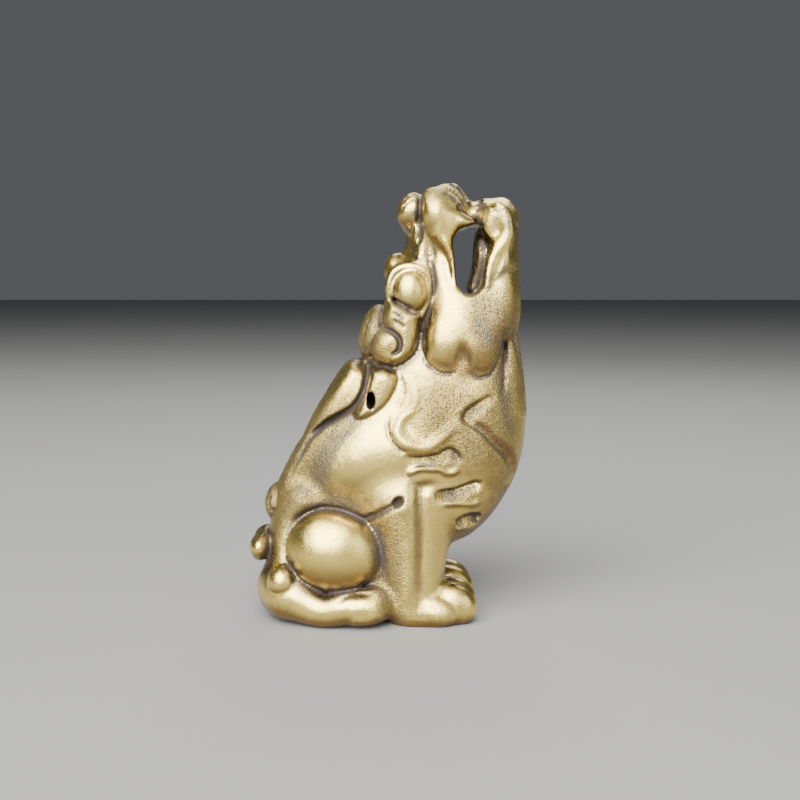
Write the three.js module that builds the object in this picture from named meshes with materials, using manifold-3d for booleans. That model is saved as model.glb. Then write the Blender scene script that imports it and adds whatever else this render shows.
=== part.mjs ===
// A small solid brass beast, seated like a lion, its head thrown back and its mouth open to the sky.
// Millimetres. +X is the front of the beast, +Z is up, and the flanks are alike about the plane y = 0.
// The body is a distance field: rounded forms melted together, then creases and hollows pressed in.
import * as THREE from "three";
import { mergeVertices } from "three/addons/utils/BufferGeometryUtils.js";
import Module from "manifold-3d";

const HEIGHT = 50; // floor to the tip of the nose
const GIRTH = 1; // widths, as a share of the drawn ones
const DRAWN_HEIGHT = 50; // height at which the forms below are drawn
const CORD_HOLE = {
  x: -1.9,
  z: 25.65,
  width: 0.96, // of its oval mouth
  height: 1.96,
  depth: 6, // how far in the mouth narrows
  bore: 0.9, // of the narrow passage
  bend: 1.4, // how far forward the passage runs in the middle
};
const MOUTH_WIDTH = 3.3; // gap between the jaws, seen from the flank
const EYE = { x: 2.5, y: 5.2, z: 37.75, length: 4.2, depth: 2.1, height: 5.2 };
const TOES = 2; // on each front paw
const TOE_PITCH = 3.3;
const CREASE = 0.32; // half width of a main crease
const CELL = 0.5; // grid on which the field is sampled
const HALF_TRIANGLES = 4300; // triangles kept on each flank
const BOX = { min: [-17.5, 0, -2.4], max: [17.5, 12, 51.6] }; // room around one flank

function smoothMin(a, b, k) {
  if (k <= 0) return Math.min(a, b);
  const h = Math.max(k - Math.abs(a - b), 0) / k;
  return Math.min(a, b) - (h * h * k) / 4;
}

// A curve through rows of numbers (Catmull-Rom), per points for each span.
function curve(rows, per, closed = false) {
  const mirror = (a, b) => a.map((v, i) => 2 * v - b[i]);
  const n = rows.length;
  const q = closed
    ? [rows[n - 1], ...rows, rows[0], rows[1]]
    : [mirror(rows[0], rows[1]), ...rows, mirror(rows[n - 1], rows[n - 2])];
  const out = [];
  for (let i = 0; i < (closed ? n : n - 1); i++) {
    const [a, b, c, d] = [q[i], q[i + 1], q[i + 2], q[i + 3]];
    for (let s = 0; s < per; s++) {
      const t = s / per;
      out.push(
        a.map(
          (_, j) =>
            0.5 *
            (2 * b[j] +
              (c[j] - a[j]) * t +
              (2 * a[j] - 5 * b[j] + 4 * c[j] - d[j]) * t * t +
              (3 * b[j] - a[j] - 3 * c[j] + d[j]) * t * t * t),
        ),
      );
    }
  }
  if (!closed) out.push(rows[n - 1]);
  return out;
}

const lowest = (rows, j) => Math.min(...rows.map((r) => r[j]));
const highest = (rows, j) => Math.max(...rows.map((r) => r[j]));
const clamp01 = (t) => Math.min(Math.max(t, 0), 1);

// An egg: an ellipsoid, tilted in the side view by degrees that lift its front.
function egg(at, radii, { tilt = 0, k = 0.5, cut = false } = {}) {
  const [cos, sin] = [Math.cos((tilt * Math.PI) / 180), Math.sin((tilt * Math.PI) / 180)];
  const reach = Math.max(...radii);
  return {
    k,
    cut,
    lo: at.map((v) => v - reach),
    hi: at.map((v) => v + reach),
    distance(x, y, z) {
      const [dx, dy, dz] = [x - at[0], y - at[1], z - at[2]];
      const p = [dx * cos + dz * sin, dy, -dx * sin + dz * cos];
      const near = Math.hypot(p[0] / radii[0], p[1] / radii[1], p[2] / radii[2]);
      const slope = Math.hypot(p[0] / radii[0] ** 2, p[1] / radii[1] ** 2, p[2] / radii[2] ** 2);
      return (near * (near - 1)) / Math.max(slope, 1e-9);
    },
  };
}

// A lock: a round tube through rows of x, y, z, radius. flat widens it in y about the level y0.
function lock(rows, { k = 0.5, flat = 1, y0 = 0, cut = false } = {}) {
  const pts = rows.length > 2 ? curve(rows, 6) : rows;
  const reach = highest(pts, 3);
  const spread = [1, Math.max(1, flat), 1];
  return {
    k,
    cut,
    lo: [0, 1, 2].map((j) => lowest(pts, j) - reach * spread[j]),
    hi: [0, 1, 2].map((j) => highest(pts, j) + reach * spread[j]),
    distance(x, y, z) {
      const w = (y - y0) / flat + y0;
      let best = Infinity;
      for (let i = 0; i < pts.length - 1; i++) {
        const [a, b] = [pts[i], pts[i + 1]];
        const v = [b[0] - a[0], b[1] - a[1], b[2] - a[2]];
        const along = (x - a[0]) * v[0] + (w - a[1]) * v[1] + (z - a[2]) * v[2];
        const t = clamp01(along / Math.max(v[0] ** 2 + v[1] ** 2 + v[2] ** 2, 1e-12));
        const d = Math.hypot(x - a[0] - t * v[0], w - a[1] - t * v[1], z - a[2] - t * v[2]);
        best = Math.min(best, d - a[3] - (b[3] - a[3]) * t);
      }
      return best * Math.min(1, flat);
    },
  };
}

// A plate: an outline in the side view, half thick about the level y0, with a rounded edge and domed face.
// lean thickens it with height, in mm for each mm.
function plate(outline, { y0 = 0, half, edge, dome = 0, reach = 2, lean = 0, k = 0.5, cut = false }) {
  const pts = curve(outline, 4, true);
  const middle = (lowest(pts, 1) + highest(pts, 1)) / 2;
  const thick = half + dome + Math.abs(lean) * (highest(pts, 1) - middle);
  return {
    k,
    cut,
    lo: [lowest(pts, 0), y0 - thick, lowest(pts, 1)],
    hi: [highest(pts, 0), y0 + thick, highest(pts, 1)],
    distance(x, y, z) {
      let best = Infinity;
      let inside = false;
      for (let i = 0, j = pts.length - 1; i < pts.length; j = i++) {
        const [a, b] = [pts[j], pts[i]];
        const [vx, vz] = [b[0] - a[0], b[1] - a[1]];
        const t = clamp01(((x - a[0]) * vx + (z - a[1]) * vz) / Math.max(vx * vx + vz * vz, 1e-12));
        best = Math.min(best, Math.hypot(x - a[0] - t * vx, z - a[1] - t * vz));
        if (a[1] > z !== b[1] > z && x < (vx * (z - a[1])) / vz + a[0]) inside = !inside;
      }
      const border = inside ? -best : best;
      const rise = 1 - clamp01(-border / reach);
      const u = border + edge;
      const v = Math.abs(y - y0) - half - lean * (z - middle) - dome * (1 - rise * rise) + edge;
      return Math.min(Math.max(u, v), 0) + Math.hypot(Math.max(u, 0), Math.max(v, 0)) - edge;
    },
  };
}

// Several forms melted together first, and into the rest by k.
function group(k, ...forms) {
  const solid = forms.filter((f) => !f.press && !f.cut);
  return {
    k,
    lo: [0, 1, 2].map((j) => Math.min(...solid.map((f) => f.lo[j]))),
    hi: [0, 1, 2].map((j) => Math.max(...solid.map((f) => f.hi[j]))),
    distance: (x, y, z) => melt(forms, x, y, z),
  };
}

// A groove (depth above 0) or a rib (below 0) along a path in the side view, outside the level from.
// taper thins its two ends. With a shelf the surface stays sunk on the left of the path, or on the right if
// the shelf is below 0, and comes back up over that many mm.
function groove(path, { width = CREASE, depth, from = 2, taper = [1, 1], shelf = 0 }) {
  const pts = curve(path, 6);
  const n = pts.length - 1;
  const reach = Math.max(2.5 * width, Math.abs(shelf));
  return {
    lo: [lowest(pts, 0) - reach, from, lowest(pts, 1) - reach],
    hi: [highest(pts, 0) + reach, 99, highest(pts, 1) + reach],
    press(x, y, z) {
      let [best, where, side] = [Infinity, 0, 0];
      for (let i = 0; i < n; i++) {
        const [a, b] = [pts[i], pts[i + 1]];
        const [vx, vz] = [b[0] - a[0], b[1] - a[1]];
        const t = clamp01(((x - a[0]) * vx + (z - a[1]) * vz) / Math.max(vx * vx + vz * vz, 1e-12));
        const d = (x - a[0] - t * vx) ** 2 + (z - a[1] - t * vz) ** 2;
        if (d < best) [best, where, side] = [d, (i + t) / n, vx * (z - a[1]) - vz * (x - a[0])];
      }
      const start = taper[0] ? clamp01(where / 0.18) ** 0.7 : 1;
      const end = taper[1] ? clamp01((1 - where) / 0.18) ** 0.7 : 1;
      const away = clamp01(1 - Math.sqrt(best) / Math.abs(shelf || 1));
      const across = side * shelf > 0 ? away * away * (3 - 2 * away) : Math.exp(-best / width ** 2);
      return depth * across * start * end * clamp01((y - from) / 0.6);
    },
  };
}

// A shallow hollow with a soft rim, an ellipse in the side view.
function hollow(at, radii, { depth, from = 3, tilt = 0, rim = 0.4 }) {
  const [cos, sin] = [Math.cos((tilt * Math.PI) / 180), Math.sin((tilt * Math.PI) / 180)];
  const reach = Math.max(...radii) * (1 + rim);
  return {
    lo: [at[0] - reach, from, at[1] - reach],
    hi: [at[0] + reach, 99, at[1] + reach],
    press(x, y, z) {
      const [dx, dz] = [x - at[0], z - at[1]];
      const q = Math.hypot((dx * cos + dz * sin) / radii[0], (-dx * sin + dz * cos) / radii[1]);
      const e = clamp01((1 + rim - q) / (2 * rim));
      return depth * e * e * (3 - 2 * e) * clamp01((y - from) / 0.6);
    },
  };
}

const outside = (f, pad, x, y, z) =>
  x < f.lo[0] - pad ||
  x > f.hi[0] + pad ||
  y > f.hi[1] + pad ||
  z < f.lo[2] - pad ||
  z > f.hi[2] + pad;

function melt(forms, x, y, z) {
  let f = 20;
  for (const s of forms) {
    if (outside(s, s.press ? 0 : 3 + s.k, x, y, z)) continue;
    if (s.press) f += s.press(x, y, z);
    else if (s.cut) f = -smoothMin(-f, s.distance(x, y, z), s.k);
    else f = smoothMin(f, s.distance(x, y, z), s.k);
  }
  return f;
}

const torso = () =>
  group(
    0,
    lock(
      [[-6, 0, 6.8, 7.5], [-4.6, 0, 9.5, 7.7], [-1.3, 0, 14.8, 9.1], [3.7, 0, 21, 10.8],
        [6.2, 0, 27.4, 8.6]],
      { flat: 0.76, k: 3 },
    ),
    egg([9.8, 0, 22.6], [5.5, 6.6, 10.3], { tilt: 3, k: 3 }), // chest
    egg([7.5, 0, 13.3], [4.2, 6.4, 4.9], { tilt: -30, k: 2.5 }), // underside of the chest
    egg([-0.8, 3, 19.2], [7.8, 5.1, 4.9], { tilt: 15, k: 2.5 }), // flank
    lock([[1.1, 2, 13.5, 4.2], [1.9, 2, 2.2, 2.8]], { flat: 1.5, k: 2 }), // between the front legs
    lock([[-10, 0, 18.4, 1.2], [-11.7, 0, 14.5, 1.6], [-12.8, 0, 10.7, 1.2], [-13.3, 0, 5.8, 1.2]], {
      flat: 2.2,
      k: 1.5,
    }), // tail laid up the back
  );

const hindquarters = () => [
  group(
    0.8,
    egg([-11.2, 3, 3.5], [4.1, 4.6, 4], { k: 1.5 }), // rump
    lock([[-11.2, 6, 3.3, 2.8], [-7.7, 7.6, 1.9, 1.9], [-4.8, 8, 2.3, 2], [-1.7, 7.6, 2.5, 2.1]], {
      k: 1.2,
    }), // shank
  ),
  lock([[-9.7, 4, 13.8, 1.3], [-11, 3.6, 11.4, 1.05], [-11.6, 3.8, 8.5, 1.15], [-11.4, 4, 5.6, 1.5]], {
    k: 2.2,
    flat: 1.3,
    y0: 3.8,
  }), // hip
  egg([-6.05, 6, 8.45], [5.55, 4.3, 4.9], { tilt: -10, k: 0.25 }), // thigh
  plate(
    [[-5, 2.8], [-4.3, 3.5], [-2.8, 3.9], [-1.2, 3.8], [-0.4, 2.9], [-0.5, 1.5], [-1.8, 0.5], [-4, 0.4],
      [-4.8, 1.4]],
    { y0: 7.6, half: 2.1, edge: 1.3, dome: 0.35, reach: 1.4 },
  ), // toes of the hind foot
  egg([-1.2, 4.4, 5.4], [2, 2.7, 3.4], { k: 0.8 }), // web to the front leg
];

function frontLeg() {
  const toes = [];
  for (let i = 0; i < TOES; i++) {
    const forward = 0.4 * Math.sin((Math.PI * (i + 0.7)) / TOES);
    toes.push(egg([7.1 + forward, 2.8 + TOE_PITCH * i, 2.1], [2.95, 1.8, 2.4], { tilt: -22, k: 0.12 }));
  }
  return [
    lock([[3.4, 4, 14.8, 3.75], [3.1, 4.8, 7.6, 3.5], [3.2, 5.2, 1.8, 3.15]], { k: 2.2, y0: 4.8 }),
    group(1.1, egg([5.7, 5, 1.5], [3.2, 3.9, 2.4]), ...toes),
  ];
}

const tail = () => [
  lock([[-15, 1, 7.5, 1.1], [-15, 1, 8.2, 1.25], [-14.7, 1, 8.7, 1]], { flat: 2, k: 0.35 }), // tip
  egg([-13.4, 0, 13.1], [1.2, 2.8, 2.1], { tilt: -10, k: 0.35 }), // tuft
  egg([-12, 7, 5.15], [1.65, 1.9, 1.8], { k: 0.15 }), // curl against the haunch
];

function mane() {
  const strip = [
    [-4, 0, 28.4, 1.45],
    [-5, 0, 26.8, 1.6],
    [-6.3, 0, 24.7, 1.6],
    [-7.5, 0, 22.7, 1.55],
    [-8.75, 0, 20.4, 1.45],
    [-9.9, 0, 18.5, 1.25],
    [-10.8, 0, 16.9, 1],
    [-11.5, 0, 15.7, 0.7],
  ];
  const root = strip.map(([x, y, z, radius]) => [x + 1.2, y, z - 0.9, radius]);
  return [
    lock(root, { flat: 3.15, k: 0.9 }),
    lock(strip, { flat: 3.15, k: 0.9 }),
    egg([-1.7, 0, 33], [1.65, 5, 3.3], { tilt: -15, k: 0.4 }), // lobe behind the head
  ];
}

const head = () => [
  lock([[13.4, 0, 36.4, 1.5], [13.8, 0, 33, 1.35], [14.2, 0, 28.6, 1.4], [14.5, 0, 23.8, 1.4]], {
    flat: 2.8,
    k: 1,
  }), // beard
  group(
    0.3,
    egg([4.3, 0, 36.7], [4.45, 5.8, 6.1], { k: 1.2 }), // skull
    egg([9.3, 0, 36.1], [5.6, 6.5, 5.3], { k: 1.5 }), // jowls
    lock([[1.9, 0, 38.5, 1.75], [1.3, 0, 34.4, 1.85], [0.9, 0, 30.9, 1.75]], { flat: 2.7, k: 1.2 }), // nape
    lock([[12.2, 0, 38.2, 2.8], [12.2, 0, 35.4, 2.9]], { flat: 2.1, k: 1.2 }), // throat
    plate(
      [[2.9, 45.6], [4.8, 46.4], [6.5, 45.6], [7.4, 43], [7.7, 39], [7.4, 36], [3.2, 36], [2.6, 40],
        [2.8, 43]],
      { half: 4.2, edge: 1.8, k: 1.2 },
    ), // core of the upper jaw
    lock([[12.1, 0, 34.2, 2.6], [13.3, 0, 38.5, 1.75], [13.7, 0, 42.5, 1.4], [13.2, 0, 46, 1.8]], {
      flat: 2.6,
      k: 1,
    }), // core of the lower jaw
  ),
];

const snout = () =>
  group(
    0.3,
    plate(
      [[3.7, 48.4], [4.8, 49.2], [6.1, 49.9], [7.5, 50], [8.2, 49.5], [8.9, 48.7], [9.35, 47.8], [9.1, 46.9],
        [8.4, 46.2], [7.6, 45.2], [6.8, 44.2], [6.2, 43.2], [5.6, 43.1], [4.9, 43.8], [4.2, 44.6],
        [3.6, 45.3], [3.4, 46.4]],
      { half: 4, edge: 2, dome: 0.8, reach: 2.6, lean: -0.14, k: 0.4 },
    ), // upper lip
    egg([5.5, 3.2, 46.4], [2.05, 2.6, 3.1], { tilt: 12, k: 0.7 }),
    plate(
      [[5.9, 46.8], [6.7, 47.2], [7.8, 47], [8.9, 46.3], [9.8, 45.5], [9, 44.9], [8.1, 44.6], [7.5, 43.9],
        [7.3, 43.2], [7.5, 41.5], [7.7, 40.2], [7.9, 38.3], [7.2, 38.3], [6.9, 39.9], [6.7, 41.2],
        [6.2, 42.2], [5.4, 43.2], [4.8, 44.4]],
      { y0: 3.8, half: 1.5, edge: 0.9, dome: 0.4, reach: 1, lean: -0.14, k: 0.9 },
    ), // rim of the lip and the fang
    egg([2.7, 0, 46.8], [1.5, 2.9, 2.3], { tilt: -12 }), // nose
    egg([2.6, 1.9, 46.8], [1.55, 1.7, 1.9], { tilt: -12, k: 0.9 }), // its wings
    lock([[3.2, 0, 45.6, 1], [2.9, 0, 43.6, 0.85], [2.6, 0, 42, 0.9], [1.9, 0, 40.4, 1]], {
      flat: 2.4,
      k: 0.8,
    }), // bridge
    egg([0.7, 0.8, 40.2], [1.25, 2.1, 1.9], { k: 1.3 }), // brow
    egg([3.4, 1.6, 49], [0.5, 0.6, 0.6], { cut: true, k: 0.3 }), // nostril
    lock([[8.9, 0, 46.6, 1.45], [11.2, 0, 46.4, 1.6]], { flat: 2.1, k: 0.6 }), // front teeth
  );

const lowerJaw = () =>
  group(
    0.35,
    plate(
      [[10.3, 47.5], [10.8, 48.1], [11.8, 48.2], [12.9, 48.4], [13.7, 48], [14.3, 47.1], [14.8, 45.8],
        [14.9, 44.5], [14.8, 42.4], [14.7, 40.2], [13.1, 38.2], [11.4, 38], [10.7, 38.9], [11, 40.7],
        [11.5, 42], [12, 43], [11.4, 44.1], [10.4, 45.2], [10, 46.4]],
      { half: 4.8, edge: 2.4, dome: 0.8, reach: 2.4, lean: -0.12, k: 0.4 },
    ),
    egg([11.9, 3.5, 44.9], [1.5, 1.5, 1.9], { tilt: 25, k: 0.8 }),
    egg([12.4, 3.7, 41.4], [1.5, 1.9, 2.8], { k: 1.2 }),
    lock([[13.2, 0, 47.1, 1], [13.9, 0, 46.4, 1]], { flat: 4.3 }), // chin
    lock(
      [[12.4, 4.7, 47.3, 0.4], [12.9, 4.9, 46.5, 0.5], [13.3, 5, 45.5, 0.6], [13.5, 5, 44.5, 0.65],
        [13.2, 5.1, 43.6, 0.65], [12.5, 5.2, 42.7, 0.65], [11.8, 5.3, 41.9, 0.6], [11.4, 5.5, 40.8, 0.6],
        [11.2, 5.6, 39.6, 0.6], [11, 5.7, 38.4, 0.6]],
      { k: 0.9 },
    ), // lip
  );

const face = () => [
  group(
    0.7,
    plate(
      [[6.9, 39.2], [6.2, 39.8], [5.4, 39.4], [5.1, 38.2], [4.9, 36.8], [4.4, 34.6], [4, 31.8], [4.6, 30],
        [5.8, 29], [7.1, 29.1], [8, 29.9], [8.8, 29.2], [10.3, 28.6], [11.6, 29.3], [12.5, 31.7],
        [12.9, 35.2], [12.3, 37.8], [10.8, 38.2], [9.1, 37.5], [7.7, 38.3]],
      { half: 5.5, edge: 1.9, dome: 0.7, lean: -0.14 },
    ), // cheek
    lock([[5.5, 3.6, 43.4, 0.8], [5.8, 3.8, 41.6, 0.9], [6.2, 4.2, 39.8, 1], [6.8, 4.5, 37.8, 1.2]], {
      k: 1.8,
    }),
    egg([12.6, 3, 36.5], [1.9, 3.1, 4.6], { tilt: -8, k: 2 }),
    egg([8.3, 3.9, 33], [4.4, 3.7, 5.6], { k: 1.6 }),
    egg([6.4, 4.7, 31.6], [2, 2.3, 2.6], { k: 1.6 }),
    egg([10.3, 4.7, 31.3], [2.2, 2.3, 2.7], { k: 1.6 }),
  ),
  group(
    0.2,
    plate(
      [[0, 37], [-0.5, 35.8], [-0.7, 34.6], [-0.5, 33.8], [-1.3, 33.3], [-1.8, 32.5], [-2, 31.3],
        [-1.4, 30], [-0.2, 29.2], [1.3, 29.3], [2.7, 30.2], [3.4, 31.4], [3.6, 32.8], [3.7, 34.4],
        [4.1, 35.5], [2.9, 36], [1.4, 36.8]],
      { y0: 4, half: 2.1, edge: 1.4, dome: 1, reach: 1.8, k: 0.15 },
    ),
    egg([-0.3, 5.2, 31.8], [1.2, 2, 1.3], { k: 0.2 }),
  ), // scroll of the ear
  egg([2.7, 2.9, 38], [3, 2.7, 3.2], { k: 0.6 }), // socket of the eye
  lock(
    [[0.3, 5.4, 36.9, 0.5], [0.2, 5.5, 38.6, 0.5], [0.7, 5.55, 39.8, 0.5], [1.6, 5.6, 40.4, 0.5],
      [2.7, 5.6, 40.5, 0.5], [3.8, 5.6, 40.2, 0.5], [4.6, 5.6, 39.3, 0.5], [4.8, 5.6, 37.9, 0.5],
      [4.6, 5.6, 36.4, 0.45], [3.8, 5.6, 35.1, 0.4]],
    { k: 0.3 },
  ), // lid
  egg([EYE.x, EYE.y, EYE.z], [EYE.length / 2, EYE.depth, EYE.height / 2], { k: 0.35 }),
];

function mouth() {
  const r = MOUTH_WIDTH / 2;
  return [
    lock([[9, 0, 43.6, 0.75 * r], [9.3, 0, 42.3, r], [9.3, 0, 41, r], [9.2, 0, 39, 0.95 * r]], {
      flat: 12,
      cut: true,
    }),
    plate(
      [[8.6, 44.4], [9.3, 44.7], [10.2, 44.6], [10.9, 43.9], [11.5, 43.2], [11.4, 42.3], [10.9, 41.3],
        [10.5, 40], [10.4, 38.7], [9.9, 37.7], [9, 37.4], [8.4, 38.4], [8.1, 41], [8.2, 43.2]],
      { y0: 6.4, half: 2.8, edge: 0.6, cut: true },
    ), // wider at the flank
    lock([[11.2, 0, 45.6, 0.95], [10.9, 0, 43, 1.05], [10.6, 0, 40.4, 0.95], [9.8, 0, 38.2, 0.7]], {
      flat: 2.6,
      k: 0.4,
    }), // tongue
  ];
}

const lug = () =>
  plate(
    [[-1.7, 29.1], [-0.4, 29.35], [0.7, 28.85], [1.25, 27.7], [0.9, 26.3], [0.05, 24.85], [-1.05, 23.85],
      [-2.3, 23.3], [-3.4, 23.3], [-3.9, 24], [-3.5, 24.9], [-3.05, 26], [-2.65, 27.3], [-2.2, 28.4]],
    { y0: 4.4, half: 2.3, edge: 1, dome: 0.8, reach: 1.5, k: 0.25 },
  );

const headCreases = () => [
  groove([[6.4, 49.4], [7.4, 48.9], [8.2, 48.1], [8.7, 47.3]], { width: 0.25, depth: 0.3, from: 0.8 }),
  groove([[3.65, 49.3], [3.6, 47.4], [3.5, 45.7], [3.6, 44.2], [3.3, 42.9]], { depth: 0.4, from: 1.2 }),
  hollow([4.9, 42.4], [0.7, 1.2], { depth: 0.3, from: 2.5, tilt: 20, rim: 0.8 }),
  groove([[-0.4, 33.6], [0.5, 33.3], [1.2, 32.6], [1.3, 31.7], [1, 31.1], [0.3, 30.7]], {
    width: 0.26,
    depth: 0.75,
    from: 4,
  }), // scroll of the ear
  groove([[0.2, 37.1], [1.5, 36.5], [2.8, 35.7]], { width: 0.25, depth: 0.4, from: 4 }), // under the eye
  hollow([8.3, 30.6], [0.75, 1.1], { depth: 0.55, from: 5, rim: 0.9 }), // notch of the cheek
  egg([8.2, 5.8, 29.4], [0.7, 0.9, 1.3], { k: 0.8 }),
  groove([[4.5, 41.7], [5, 39.6], [5, 37.7], [4.5, 35.5], [3.9, 33.3], [3.9, 31]], {
    width: 0.3,
    depth: 0.3,
  }), // behind the cheek
];

const shoulderCreases = () => [
  groove(
    [[-2.3, 29.3], [-2.5, 27.6], [-2.9, 26.2], [-3.9, 24.8], [-5.4, 23.8], [-7.1, 22.8], [-8.9, 21.2]],
    { depth: 0.42, from: 1, taper: [0, 1] },
  ), // beside the mane along the spine
  groove(
    [[2.4, 28.4], [3, 26.9], [3, 25.7], [2.5, 24.6], [1.4, 23.5], [1.1, 22.1], [1.8, 21.1], [3.1, 20.6],
      [4.6, 20.6], [6, 21.5], [7.2, 22.5], [8.5, 23.4]],
    { width: 0.55, depth: -0.28 },
  ), // ribbon of the shoulder
  groove([[2.2, 24.2], [2.1, 22.9], [3, 21.9], [4.1, 21.6], [5.1, 22.3], [6.6, 23.4], [7.8, 23.9]], {
    width: 0.5,
    depth: 0.18,
    shelf: 2,
  }), // disc inside it
];

const chestCreases = () => [
  groove(
    [[12.1, 25.8], [11.2, 25.9], [9.9, 25.3], [9, 24.7], [8.5, 24], [8.8, 23.3], [9.9, 22.6], [10.8, 21.9],
      [11.4, 21.1], [12.1, 20.4], [13.1, 19.5], [13.7, 18.3], [13.9, 17.1], [13.4, 15.8]],
    { depth: 0.5, from: 1, shelf: 1.3 },
  ), // leaf
  hollow([9.5, 24.3], [1.3, 0.7], { depth: 0.3, from: 3, tilt: 40, rim: 0.6 }),
  groove(
    [[1.8, 19.5], [3.2, 19.4], [4.6, 19.5], [5.7, 19.7], [6.2, 20], [6.9, 20.2], [7.5, 19.9], [7.9, 19.3],
      [7.9, 18.7]],
    { width: 0.28, depth: 0.6, shelf: -1.5 },
  ), // pockets, from the top, each with a raised lower lip
  groove(
    [[2.3, 17.4], [2.6, 17.8], [3.6, 18.2], [4.8, 18.2], [5.9, 18], [6.6, 17.6], [7.5, 17.7], [8, 18.3]],
    { depth: -0.34 },
  ),
  groove([[5.1, 15.3], [6.4, 15.4], [7.5, 15.5], [8.5, 15.9], [9.7, 16.3], [10.6, 16.1]], {
    width: 0.28,
    depth: 0.6,
    from: 3,
    shelf: -1.5,
  }),
  groove([[6.1, 14.1], [7.9, 14], [9.7, 13.8], [10.5, 14.3]], { depth: -0.24, from: 3 }),
  groove([[7.6, 11.6], [8.6, 12.2], [9.7, 12.4], [10.6, 12.2]], { width: 0.28, depth: 0.65, shelf: -1.2 }),
  groove([[7.6, 10.8], [8.3, 10.9], [9.4, 10.9], [10.3, 11.4]], { width: 0.3, depth: -0.24 }),
  hollow([4.2, 16.1], [1.1, 0.6], { depth: 0.35, from: 4, rim: 1 }),
];

const haunchCreases = () => [
  groove(
    [[-11, 11.2], [-10.1, 12.1], [-9, 12.8], [-7.1, 13.2], [-5.5, 13.1], [-4.2, 12.6], [-2.8, 12.2],
      [-1.9, 12.6], [-0.1, 13.7], [0.8, 14.2]],
    { width: 0.36, depth: 0.32, taper: [1, 0] },
  ), // belly over the thigh
  hollow([1.1, 14.5], [0.55, 0.45], { depth: 0.6, from: 5, tilt: 35, rim: 0.6 }),
  groove([[3.6, 16.7], [3.6, 14.7], [3.6, 11.3], [3.5, 7.9], [3.4, 4.4], [3.3, 1]], {
    width: 0.75,
    depth: 0.4,
    from: 4,
  }), // front of the leg
  groove([[-5.6, 2.9], [-5.1, 3.5], [-4.3, 3.9], [-3, 4], [-1.4, 4]], { width: 0.22, depth: 0.3, from: 4 }),
];

const EDGES = [
  [0, 1], [2, 3], [4, 5], [6, 7],
  [0, 2], [1, 3], [4, 6], [5, 7],
  [0, 4], [1, 5], [2, 6], [3, 7],
];
const FACES = [[0, 1, 3, 2], [4, 5, 7, 6], [0, 1, 5, 4], [2, 3, 7, 6], [0, 2, 6, 4], [1, 3, 7, 5]];
const edgeOf = (a, b) => EDGES.findIndex((e) => e.includes(a) && e.includes(b));

// For one pattern of filled corners, the patch of surface that each edge of the cell belongs to.
function patches(pattern) {
  const full = (c) => (pattern >> c) & 1;
  const group = new Map();
  EDGES.forEach(([a, b], i) => {
    if (full(a) !== full(b)) group.set(i, i);
  });
  const root = (i) => (group.get(i) === i ? i : root(group.get(i)));
  for (const face of FACES) {
    const cut = face.map((c, i) => edgeOf(c, face[(i + 1) % 4]));
    const hit = cut.filter((e) => group.has(e));
    if (hit.length === 2) group.set(root(hit[0]), root(hit[1]));
    if (hit.length === 4) {
      face.forEach((c, i) => {
        if (full(c)) group.set(root(cut[(i + 3) % 4]), root(cut[i]));
      });
    }
  }
  const roots = [...new Set([...group.keys()].map(root))];
  return EDGES.map((_, i) => (group.has(i) ? roots.indexOf(root(i)) : -1));
}

// Triangles of the flank y >= 0. The middle row of cells straddles y = 0 and its points lie on that plane.
function skin(field) {
  const count = BOX.min.map((v, j) => Math.ceil((BOX.max[j] - v) / CELL) + 2);
  const at = (j, i) => (j === 1 ? (i - 0.5) * CELL : BOX.min[j] + i * CELL);
  const step = [count[1] * count[2], count[2], 1];
  const values = new Float32Array(count[0] * step[0]);
  for (let i = 0, n = 0; i < count[0]; i++)
    for (let j = 0; j < count[1]; j++)
      for (let k = 0; k < count[2]; k++, n++) values[n] = field(at(0, i), Math.abs(at(1, j)), at(2, k));
  const corner = (c) => (c & 1) * step[0] + ((c >> 1) & 1) * step[1] + ((c >> 2) & 1) * step[2];
  const tables = Array.from({ length: 256 }, (_, p) => patches(p));
  const ids = new Map();
  const points = [];
  const hits = [];
  const vertex = (cell, edge) => {
    let pattern = 0;
    for (let c = 0; c < 8; c++) if (values[cell + corner(c)] < 0) pattern |= 1 << c;
    const key = cell * 8 + tables[pattern][edge];
    if (!ids.has(key)) {
      ids.set(key, points.length);
      points.push([0, 0, 0]);
      hits.push(0);
    }
    return ids.get(key);
  };
  const triangles = [];
  for (let axis = 0; axis < 3; axis++) {
    const [u, v] = [0, 1, 2].filter((j) => j !== axis);
    for (let i = 0; i < count[0]; i++)
      for (let j = 0; j < count[1]; j++)
        for (let k = 0; k < count[2]; k++) {
          const idx = [i, j, k];
          if (idx[axis] + 1 >= count[axis] || idx[u] < 1 || idx[v] < 1) continue;
          if (idx[u] + 1 >= count[u] || idx[v] + 1 >= count[v]) continue;
          const n = i * step[0] + j * step[1] + k;
          const [a, b] = [values[n], values[n + step[axis]]];
          if (a < 0 === b < 0) continue;
          const p = idx.map((w, m) => at(m, w));
          p[axis] += (CELL * a) / (a - b);
          const ring = [[0, 0], [1, 0], [1, 1], [0, 1]].map(([du, dv]) => {
            const from = du * (1 << u) + dv * (1 << v);
            const id = vertex(n - du * step[u] - dv * step[v], edgeOf(from, from + (1 << axis)));
            p.forEach((w, m) => (points[id][m] += w));
            hits[id] += 1;
            return id;
          });
          if (a < 0 === (axis === 1)) ring.reverse();
          triangles.push([ring[0], ring[1], ring[2]], [ring[0], ring[2], ring[3]]);
        }
  }
  const seam = new Set();
  for (const [key, id] of ids) if (Math.floor(key / 8 / step[1]) % count[1] === 0) seam.add(id);
  points.forEach((p, i) => p.forEach((w, m) => (p[m] = m === 1 && seam.has(i) ? 0 : w / hits[i])));
  return { points, triangles, seam };
}

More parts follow.
